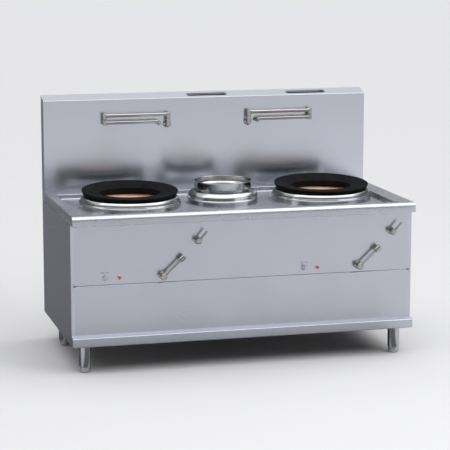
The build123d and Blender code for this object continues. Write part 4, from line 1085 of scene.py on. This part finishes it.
class WOKRANGE_OT_taps(bpy.types.Operator):
    """Build the folding taps: flanged base, upper arm, elbow and lower arm with its spout"""

    bl_idname = "wokrange.taps"
    bl_label = "Taps"

    def execute(self, context):
        for side in SIDES:
            self.base(side)
            self.upper_arm(side)
            self.lower_arm(side)
        return {"FINISHED"}

    def base(self, side):
        """Wall flange, arm, swivel body and its spigot."""
        taps = settings().taps
        node = f"tap_base_{side}"
        pivot = joint_point(f"tap_{side}_swing")
        low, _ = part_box(node)
        riser = taps.riser_radius / MM
        flange_place = (pivot.x, SPLASH_FACE, low.z + 23 * MM)
        foot = low.z + 10 * MM
        bm = bmesh.new()
        flange = soften([(0, -24, 0), (9.5, -24, 0), (9.5, 0, 0), (23, 0, 0.5), (23, 4, 2.2), (16, 6.5, 3),
                         (10.5, 8, 1.5), (10.5, 26, 1), (0, 26, 0)])
        turned_into(bm, flange, flange_place, TO_COOK, 48)
        top = (pivot.z - foot) / MM - 0.4
        body = soften([(0, 0, 0), (riser - 3, 0, 1), (riser, 3, 2), (riser, top - 8, 0.5), (riser - 0.9, top - 7, 0.3),
                       (riser - 0.9, top - 5, 0.3), (riser, top - 4, 0.5), (riser, top, 0.8), (6, top, 0),
                       (6, top + 24, 0.8), (0, top + 24, 0)])
        turned_into(bm, body, (pivot.x, pivot.y, foot), UP, 48)
        keep(f"{node}_turned", bm, "range_frame", "chrome", node)

    def upper_arm(self, side):
        """Swivel cap, long tube and the elbow's upper half."""
        taps = settings().taps
        node = f"tap_upper_arm_{side}"
        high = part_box(node)[1]
        pivot, elbow = joint_point(f"tap_{side}_swing"), joint_point(f"tap_{side}_elbow")
        riser, knuckle, tube = taps.riser_radius / MM, taps.elbow_radius / MM, taps.tube_radius / MM
        tube_height = high.z - 13 * MM
        bm = bmesh.new()
        cap_top = (high.z - 1 * MM - pivot.z) / MM
        cap = soften([(6.1, 0.2, 0), (riser, 0.2, 0.6), (riser, cap_top - 3, 0.3), (riser - 1.5, cap_top, 2.2),
                      (0, cap_top, 0), (0, 24.5, 0), (6.1, 24.5, 0)])
        turned_into(bm, cap, (pivot.x, pivot.y, pivot.z), UP, 48)
        top = (high.z - elbow.z) / MM
        upper = soften([(0, -22, 0), (6, -22, 0.8), (6, 0.2, 0), (knuckle, 0.2, 0.6), (knuckle, top - 3, 0.4),
                        (knuckle - 1.5, top, 2.2), (0, top, 0)])
        turned_into(bm, upper, (elbow.x, elbow.y, elbow.z), UP, 48)
        start = Vector((pivot.x, pivot.y, tube_height))
        reach, axis = elbow.x - pivot.x, Vector((math.copysign(1, elbow.x - pivot.x), 0, 0))
        span = abs(reach) / MM
        collar = tube + 1.4
        pipe = soften([(0, 4, 0), (collar, 4, 0), (collar, riser + 9, 0.7), (tube, riser + 10, 0.4),
                       (tube, span - knuckle - 10, 0.4), (collar, span - knuckle - 9, 0.7), (collar, span - 4, 0),
                       (0, span - 4, 0)])
        turned_into(bm, pipe, start, axis, 40)
        keep(f"{node}_bent", bm, node, "chrome", node)

    def lower_arm(self, side):
        """The elbow's lower half, the folding tube and its down-turned spout with a nozzle ring."""
        taps = settings().taps
        node = f"tap_lower_arm_{side}"
        elbow = joint_point(f"tap_{side}_elbow")
        knuckle, tube = taps.elbow_radius / MM, taps.tube_radius / MM
        towards = -1 if elbow.x > 0 else 1
        split = elbow.z - 0.3 * MM
        tube_height = split - 19.7 * MM
        bm = bmesh.new()
        depth = (split - tube_height) / MM + 13
        lower = soften([(0, -depth, 0), (knuckle - 3, -depth, 1.2), (knuckle, -depth + 3, 2), (knuckle, 0, 0.6),
                        (6.1, 0, 0), (6.1, -22.6, 0), (0, -22.6, 0)])
        turned_into(bm, lower, (elbow.x, elbow.y, split), UP, 48)
        collar = tube + 1.4
        socket = soften([(0, 4, 0), (collar, 4, 0), (collar, knuckle + 9, 0.7), (tube, knuckle + 10, 0.4),
                         (0, knuckle + 10, 0)])
        turned_into(bm, socket, (elbow.x, elbow.y, tube_height), Vector((towards, 0, 0)), 40)
        bend_start, bend_radius, bend_steps = 286 * MM, 17 * MM, 10
        route = [Vector((elbow.x + towards * 12 * MM, elbow.y, tube_height)),
                 Vector((elbow.x + towards * bend_start * 0.5, elbow.y, tube_height))]
        for step in range(bend_steps + 1):
            angle = math.radians(72) * step / bend_steps
            route.append(Vector((
                elbow.x + towards * (bend_start + bend_radius * math.sin(angle) * 0.9),
                elbow.y,
                tube_height - bend_radius * (1 - math.cos(angle)),
            )))
        drop = (route[-1] - route[-2]).normalized()
        route.append(route[-1] + drop * 3 * MM)
        tube_into(bm, route, taps.tube_radius, sides=36)
        nozzle = soften([(tube - 3, 0.5, 0), (tube - 2, 3.4, 0.4), (tube + 0.4, 3.4, 0.6), (tube + 0.7, -3.6, 0.7),
                         (tube - 0.4, -4.2, 0.3)])
        turned_into(bm, nozzle, route[-1], drop, 36)
        keep(f"{node}_bent", bm, node, "chrome", node)


# ---- gas and water levers


def on_front(place, depth):
    """A point in front of the control panel, over a control's centre."""
    return Vector((place.x, PANEL_FACE - depth * MM, place.z))


def valve(node, hub, boss, nut):
    """Escutcheon, gland and stem in front of the panel, and the tapped body behind it."""
    bm = bmesh.new()
    turned_into(bm, soften(boss), on_front(hub, 0), TO_COOK, 48)
    turned_into(bm, soften(nut), on_front(hub, 0), TO_COOK, 6)
    keep(f"{node}_turned", bm, "range_frame", "chrome", node)


def lever(node, hub, body, body_sides, arm, arm_sides, depth, reach):
    """Round hub on the stem, and the arm that leaves it at a depth before the panel."""
    bm = bmesh.new()
    turned_into(bm, soften(body), on_front(hub, 0), TO_COOK, body_sides)
    turned_into(bm, arm, on_front(hub, depth), reach, arm_sides)
    keep(f"{node}_turned", bm, node, "chrome", node)


class WOKRANGE_OT_gas_controls(bpy.types.Operator):
    """Build the gas valve bosses and their levers with barrel grips"""

    bl_idname = "wokrange.gas_controls"
    bl_label = "Gas levers"

    def execute(self, context):
        boss = [(0, -40, 0), (8, -40, 0), (8, -36, 0), (12, -36, 0.5), (12, 0.3, 0), (19, 0.3, 0.4), (19, 4.2, 2),
                (14, 6.3, 1.6), (11, 7, 1), (11, 20, 0.8), (7, 20, 0), (7, 44, 1), (0, 44, 0)]
        nut = [(0, -36, 0), (19, -36, 1), (19, -5, 1), (0, -5, 0)]
        body = [(7.05, 21.2, 0), (17.5, 21.2, 2), (17.5, 44.5, 2.6), (13.5, 47, 1.4), (12.5, 46, 0.6),
                (7.4, 46, 0.4), (7, 46.8, 0.5), (4.6, 46.8, 0.4), (4.4, 45.6, 0.3), (0, 45.6, 0)]
        arm = soften([(0, 12, 0), (9, 12, 0), (9, 28, 1.6), (6.5, 32, 2), (6.5, 112, 1), (11, 114.6, 1.2),
                      (14, 117, 2.5), (14, 145, 3), (11, 147, 1.6), (0, 147, 0)])
        angle = math.radians(42.5)
        reach = Vector((math.cos(angle), 0, math.sin(angle)))
        for side in SIDES:
            hub = joint_point(f"gas_lever_{side}_turn")
            valve(f"gas_valve_{side}", hub, boss, nut)
            lever(f"gas_lever_{side}", hub, body, 64, arm, 48, 32, reach)
        return {"FINISHED"}


class WOKRANGE_OT_water_controls(bpy.types.Operator):
    """Build the water valve bosses and their tapered levers"""

    bl_idname = "wokrange.water_controls"
    bl_label = "Water levers"

    def execute(self, context):
        boss = [(0, -40, 0), (8, -40, 0), (8, -34, 0), (12, -34, 0.5), (12, 0.3, 0), (20, 0.3, 0.4), (20, 3.6, 1.6),
                (15, 5.3, 1.4), (13, 6, 1), (13, 24, 0.8), (7, 24, 0), (7, 46, 1), (0, 46, 0)]
        nut = [(0, -38, 0), (18, -38, 1), (18, -5, 1), (0, -5, 0)]
        body = [(7.05, 25.2, 0), (15.5, 25.2, 1.6), (15.5, 45, 5), (11, 51, 5), (4, 51, 0.5), (3.4, 50.2, 0.4),
                (0, 50.2, 0)]
        arm = soften([(0, 6, 0), (6.5, 6, 0), (6.3, 14, 2), (4.3, 54, 3), (5.5, 59, 3), (5.3, 64, 3), (2.6, 66.4, 2),
                      (0, 66.6, 0)], steps=5)
        angle = math.radians(49)
        reach = Vector((math.cos(angle), -0.08, math.sin(angle))).normalized()
        for side in SIDES:
            hub = joint_point(f"water_lever_{side}_turn")
            valve(f"water_valve_{side}", hub, boss, nut)
            lever(f"water_lever_{side}", hub, body, 56, arm, 40, 40, reach)
        return {"FINISHED"}


# ---- switches and lamps


def lettering(name, words, place, height):
    """Flat printed words facing the cook."""
    text = bpy.data.curves.new(name, "FONT")
    text.body = words
    text.size = height
    text.align_x = "CENTER"
    text.extrude = 0.05 * MM
    mesh = evaluated(text)
    mesh.transform(Matrix.Translation(place) @ Matrix.Rotation(math.radians(90), 4, "X"))
    mesh.materials.clear()
    keep(name, mesh, "range_frame", "label_ink")


class WOKRANGE_OT_switches(bpy.types.Operator):
    """Build the rotary switches with their pointer lines and plain ON and OFF words"""

    bl_idname = "wokrange.switches"
    bl_label = "Switches"

    def execute(self, context):
        for side in SIDES:
            hub = joint_point(f"switch_{side}_turn")
            bezel = soften([(3.1, -16, 0), (3.1, 3, 0), (14.2, 3, 0.4), (16, 0.5, 0.8), (16, 0.3, 0), (8, 0.3, 0),
                            (8, -41.7, 0.5), (3.1, -41.7, 0)])
            mesh = turned(f"switch_body_{side}_turned", bezel, on_front(hub, 0), TO_COOK, 48, closed=True)
            keep(f"switch_body_{side}_turned", mesh, "range_frame", "bezel_steel", f"switch_body_{side}")
            self.knob(side, hub)
            lettering(f"switch_words_{side}", "OFF   ON", on_front(hub, 0.1) + UP * 21 * MM, 10 * MM)
        return {"FINISHED"}

    def knob(self, side, hub):
        """Skirted knob with a finger bar and a dark pointer line."""
        node = f"switch_knob_{side}"
        bm = bmesh.new()
        skirt = soften([(0, -14, 0), (3, -14, 0.3), (3, 3.7, 0), (13, 3.7, 0.5), (13, 10, 1.5), (11, 13.6, 1.2),
                        (0, 14, 0)])
        turned_into(bm, skirt, on_front(hub, 0), TO_COOK, 48)
        block_into(bm, (hub.x - 3 * MM, PANEL_FACE - 24 * MM, hub.z - 11.5 * MM),
                   (hub.x + 3 * MM, PANEL_FACE - 12 * MM, hub.z + 11.5 * MM), 1.1 * MM)
        keep(f"{node}_moulded", bm, node, "knob_silver", node)
        line = bmesh.new()
        block_into(line, (hub.x - 0.7 * MM, PANEL_FACE - 23.98 * MM, hub.z + 2 * MM),
                   (hub.x + 0.7 * MM, PANEL_FACE - 23.6 * MM, hub.z + 10 * MM), 0.1 * MM)
        keep(f"{node}_pointer", line, node, "pointer_ink")


class WOKRANGE_OT_lamps(bpy.types.Operator):
    """Build the red indicator lamps in their bright bezels"""

    bl_idname = "wokrange.lamps"
    bl_label = "Lamps"

    def execute(self, context):
        low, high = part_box("lamp_bodies")
        bezels, lenses = bmesh.new(), bmesh.new()
        height = (low.z + high.z) / 2
        for x in (low.x + 11 * MM, high.x - 11 * MM):
            place = Vector((x, PANEL_FACE, height))
            bezel = soften([(0, -29.7, 0), (8, -29.7, 1), (8, 0.3, 0), (11, 0.3, 0.3), (11, 3.2, 1), (9.6, 4.3, 0.6),
                            (8.6, 4.0, 0.3), (8.5, 2, 0), (0, 2, 0)])
            turned_into(bezels, bezel, place, TO_COOK, 48)
            lens = [(0, 2.2, 0), (8.2, 2.2, 0), (8.2, 5.4, 1), (6.6, 8.2, 3), (2.6, 9.2, 3), (0, 9.2, 0)]
            turned_into(lenses, soften(lens, steps=5), place, TO_COOK, 48)
        keep("lamp_bezels", bezels, "range_frame", "bezel_steel", "lamp_bodies")
        keep("lamp_red_lenses", lenses, "range_frame", "red_lens", "lamp_lenses")
        return {"FINISHED"}


# ---- feet and fasteners


class WOKRANGE_OT_feet(bpy.types.Operator):
    """Build the adjuster feet: turned pad with its groove, and threaded stem"""

    bl_idname = "wokrange.feet"
    bl_label = "Feet"

    def execute(self, context):
        for end in ("front", "rear"):
            for side in SIDES:
                self.foot(f"foot_{end}_{side}")
        return {"FINISHED"}

    def foot(self, node):
        """One foot, its stem's thread cut as fine rings."""
        low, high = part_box(node)
        axis = (low + high) / 2
        radius = (high.x - low.x) / MM / 2
        shoulder, stem_top, crest, groove = 29.5, (high.z - low.z) / MM, 8, 7.2
        corners = [(0, 0, 0), (radius - 4, 0, 1), (radius, 4, 3), (radius, 19, 0.8), (radius - 1.6, 20, 0.4),
                   (radius - 1.6, 23.4, 0.4), (radius, 24.4, 0.8), (radius, shoulder - 0.8, 0.8),
                   (radius - 1, shoulder, 0.5), (crest, shoulder, 0)]
        pitch, height = 1.75, shoulder + 1
        while height < stem_top - pitch:
            corners += [(crest, height, 0), (groove, height + pitch / 2, 0)]
            height += pitch
        corners += [(groove, stem_top, 0), (0, stem_top, 0)]
        mesh = turned(f"{node}_turned", soften(corners), (axis.x, axis.y, low.z), UP, 48)
        keep(f"{node}_turned", mesh, node, "leg_steel", node)


class WOKRANGE_OT_fasteners(bpy.types.Operator):
    """Set the button-head screws at the ends of the front seam"""

    bl_idname = "wokrange.fasteners"
    bl_label = "Fasteners"

    def execute(self, context):
        low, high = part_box("panel_screws")
        radius, depth = 3.2, 1.6
        bm = bmesh.new()
        for x in (low.x + radius * MM, high.x - radius * MM):
            for z in (low.z + radius * MM, high.z - radius * MM):
                button_screw_into(bm, Vector((x, high.y, z)), TO_COOK, radius, depth)
        keep("seam_screws", bm, "range_frame", "pipe_steel", "panel_screws")
        return {"FINISHED"}


# ---- studio


def floor_material(tone):
    """A pale floor that keeps the object's shadow and shows as pale in reflections too."""
    material, tree, shader = principled("studio_floor", Roughness=0.9, Specular_IOR_Level=0.1)
    cloud = noise(tree, on_surface(tree), 1.5, 3.0, 0.5)
    tree.links.new(mixed_colour(tree, cloud, darker(tone, 0.99), darker(tone, 1.01)), shader.inputs["Base Color"])
    return material


def soft_step(tree, value, low, high):
    """0 below low, 1 above high, and a smooth rise between."""
    node = tree.nodes.new("ShaderNodeMapRange")
    node.interpolation_type = "SMOOTHSTEP"
    tree.links.new(value, node.inputs["Value"])
    node.inputs["From Min"].default_value = low
    node.inputs["From Max"].default_value = high
    return node.outputs["Result"]


def light_panel(tree, direction, heading, half_width, bottom, top, strength, feather=8):
    """A soft-edged bright patch of the room; headings and heights in degrees, 0 is +X, -90 the cook."""
    flat = vector_maths(tree, "NORMALIZE", vector_maths(tree, "MULTIPLY", direction, (1, 1, 0))[0])[0]
    towards = (math.cos(math.radians(heading)), math.sin(math.radians(heading)), 0)
    along = vector_maths(tree, "DOT_PRODUCT", flat, towards)["Value"]
    split = tree.nodes.new("ShaderNodeSeparateXYZ")
    tree.links.new(direction, split.inputs[0])
    sines = [math.sin(math.radians(height)) for height in (bottom - feather, bottom, top, min(top + feather, 90))]
    cosines = [math.cos(math.radians(angle)) for angle in (min(half_width + feather, 180), half_width)]
    cosines[0] -= 1e-4
    across = soft_step(tree, along, *cosines)
    above = soft_step(tree, split.outputs["Z"], sines[0], sines[1])
    below = maths(tree, "SUBTRACT", 1.0, soft_step(tree, split.outputs["Z"], sines[2], sines[3] + 1e-4))
    window = maths(tree, "MULTIPLY", maths(tree, "MULTIPLY", across, above), below)
    return maths(tree, "MULTIPLY", window, strength)


class WOKRANGE_OT_studio(bpy.types.Operator):
    """Set the pale floor, the soft light and the camera"""

    bl_idname = "wokrange.studio"
    bl_label = "Studio"

    def execute(self, context):
        studio = settings().studio
        self.floor(studio)
        self.room(studio)
        self.key_lamp(studio)
        self.flag()
        self.camera(studio)
        context.scene.view_settings.view_transform = "Standard"
        return {"FINISHED"}

    def sheet(self, name, corners, material):
        """A flat sheet of the studio."""
        bm = bmesh.new()
        bm.faces.new([bm.verts.new(corner) for corner in corners])
        mesh = finished(name, bm)
        mesh.materials.append(material)
        sheet = placed(name, mesh)
        return sheet

    def floor(self, studio):
        """A wide flat sheet under the feet."""
        reach, height = 60.0, -0.2 * MM
        corners = [(x, y, height) for x, y in ((-reach, -reach), (reach, -reach), (reach, reach), (-reach, reach))]
        self.sheet("studio_floor", corners, floor_material(studio.floor))

    def flag(self):
        """Dark cards behind on the left and before the legs, which only show in reflections: painted dark reflections
        that put shade into the side panel and the legs, casting no shadow and unseen by the camera.
        """
        # Painted dark reflection: a near-black card that only glossy rays see.
        material, _, _ = principled("painted_reflection_black", Base_Color=(0.10, 0.10, 0.11, 1.0), Roughness=1.0)
        height = 2 * MM
        corners = [(-16.0, -0.4, height), (-0.92, -0.4, height), (-0.92, 16.0, height), (-16.0, 16.0, height)]
        foot = [(-0.95, -1.05, height), (0.95, -1.05, height), (0.95, -0.46, height), (-0.95, -0.46, height)]
        for flag in (self.sheet("side_painted_reflection", corners, material), self.sheet("front_painted_reflection", foot, material)):
            flag.visible_camera = False
            flag.visible_diffuse = False
            flag.visible_shadow = False

    def room(self, studio):
        """A dim room with softboxes in front, to the left and to the right, and a pale back wall."""
        world = bpy.data.worlds.new("studio_room")
        world.use_nodes = True
        tree = world.node_tree
        background = tree.nodes["Background"]
        background.inputs["Color"].default_value = (1, 1, 1, 1)
        direction = tree.nodes.new("ShaderNodeTexCoord").outputs["Generated"]
        panels = (
            (-75, 110, 40, 66, studio.front_box),
            (-40, 20, -4, 16, studio.side_box),
            (-177, 10, -4, 16, studio.side_box),
            (75, 100, 32, 66, studio.back_wall),
            (0, 180, 66, 90, studio.ceiling),
        )
        total = studio.room
        for panel in panels:
            total = maths(tree, "ADD", light_panel(tree, direction, *panel), total)
        tree.links.new(total, background.inputs["Strength"])
        bpy.context.scene.world = world

    def key_lamp(self, studio):
        """A broad lamp high on the front right, kept out of the reflections."""
        lamp = bpy.data.lights.new("key_lamp", "AREA")
        lamp.shape = "DISK"
        lamp.size = 3.0
        lamp.energy = studio.key
        holder = placed("key_lamp", lamp)
        holder.location = (3.2, -4.2, 4.2)
        holder.rotation_euler = (Vector((0.4, -1.6, 0.0)) - holder.location).to_track_quat("-Z", "Y").to_euler()
        holder.visible_glossy = False

    def camera(self, studio):
        """The camera at the photograph's viewing angle."""
        lens = bpy.data.cameras.new("studio_camera")
        lens.lens = studio.focal_length
        lens.sensor_width = 36
        lens.clip_end = 200
        camera = placed("studio_camera", lens)
        camera.location = studio.camera_place
        camera.rotation_euler = (math.radians(90) - studio.camera_tilt, 0, studio.camera_turn)
        bpy.context.scene.camera = camera


# ---- panel and running


OPERATORS = (
    WOKRANGE_OT_cabinet,
    WOKRANGE_OT_hob,
    WOKRANGE_OT_drums,
    WOKRANGE_OT_wok_rings,
    WOKRANGE_OT_pot_collar,
    WOKRANGE_OT_burners,
    WOKRANGE_OT_taps,
    WOKRANGE_OT_gas_controls,
    WOKRANGE_OT_water_controls,
    WOKRANGE_OT_switches,
    WOKRANGE_OT_lamps,
    WOKRANGE_OT_feet,
    WOKRANGE_OT_fasteners,
    WOKRANGE_OT_studio,
)


class WOKRANGE_PT_sidebar(bpy.types.Panel):
    """Lists the steps that dress the range"""

    bl_idname = "WOKRANGE_PT_sidebar"
    bl_label = "Wok Range"
    bl_space_type = "VIEW_3D"
    bl_region_type = "UI"
    bl_category = "Wok Range"

    def draw(self, context):
        for operator in OPERATORS:
            self.layout.operator(operator.bl_idname)
        chosen = context.scene.wok_range
        for group in (chosen.finishes, chosen.hob, chosen.stations, chosen.taps, chosen.studio):
            box = self.layout.box()
            for name in group.__annotations__:
                box.prop(group, name)


GROUP_CLASSES = (WokRangeFinishes, WokRangeHob, WokRangeStations, WokRangeTaps, WokRangeStudio, WokRangeSettings)
CLASSES = GROUP_CLASSES + OPERATORS + (WOKRANGE_PT_sidebar,)


def register():
    """Register the settings, the operators and the panel."""
    for item in CLASSES:
        bpy.utils.register_class(item)
    bpy.types.Scene.wok_range = PointerProperty(type=WokRangeSettings)


def unregister():
    """Take them away again."""
    del bpy.types.Scene.wok_range
    for item in reversed(CLASSES):
        bpy.utils.unregister_class(item)


def main():
    """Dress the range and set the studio."""
    register()
    for operator in OPERATORS:
        area, step = operator.bl_idname.split(".")
        getattr(getattr(bpy.ops, area), step)()


if __name__ == "__main__":
    main()
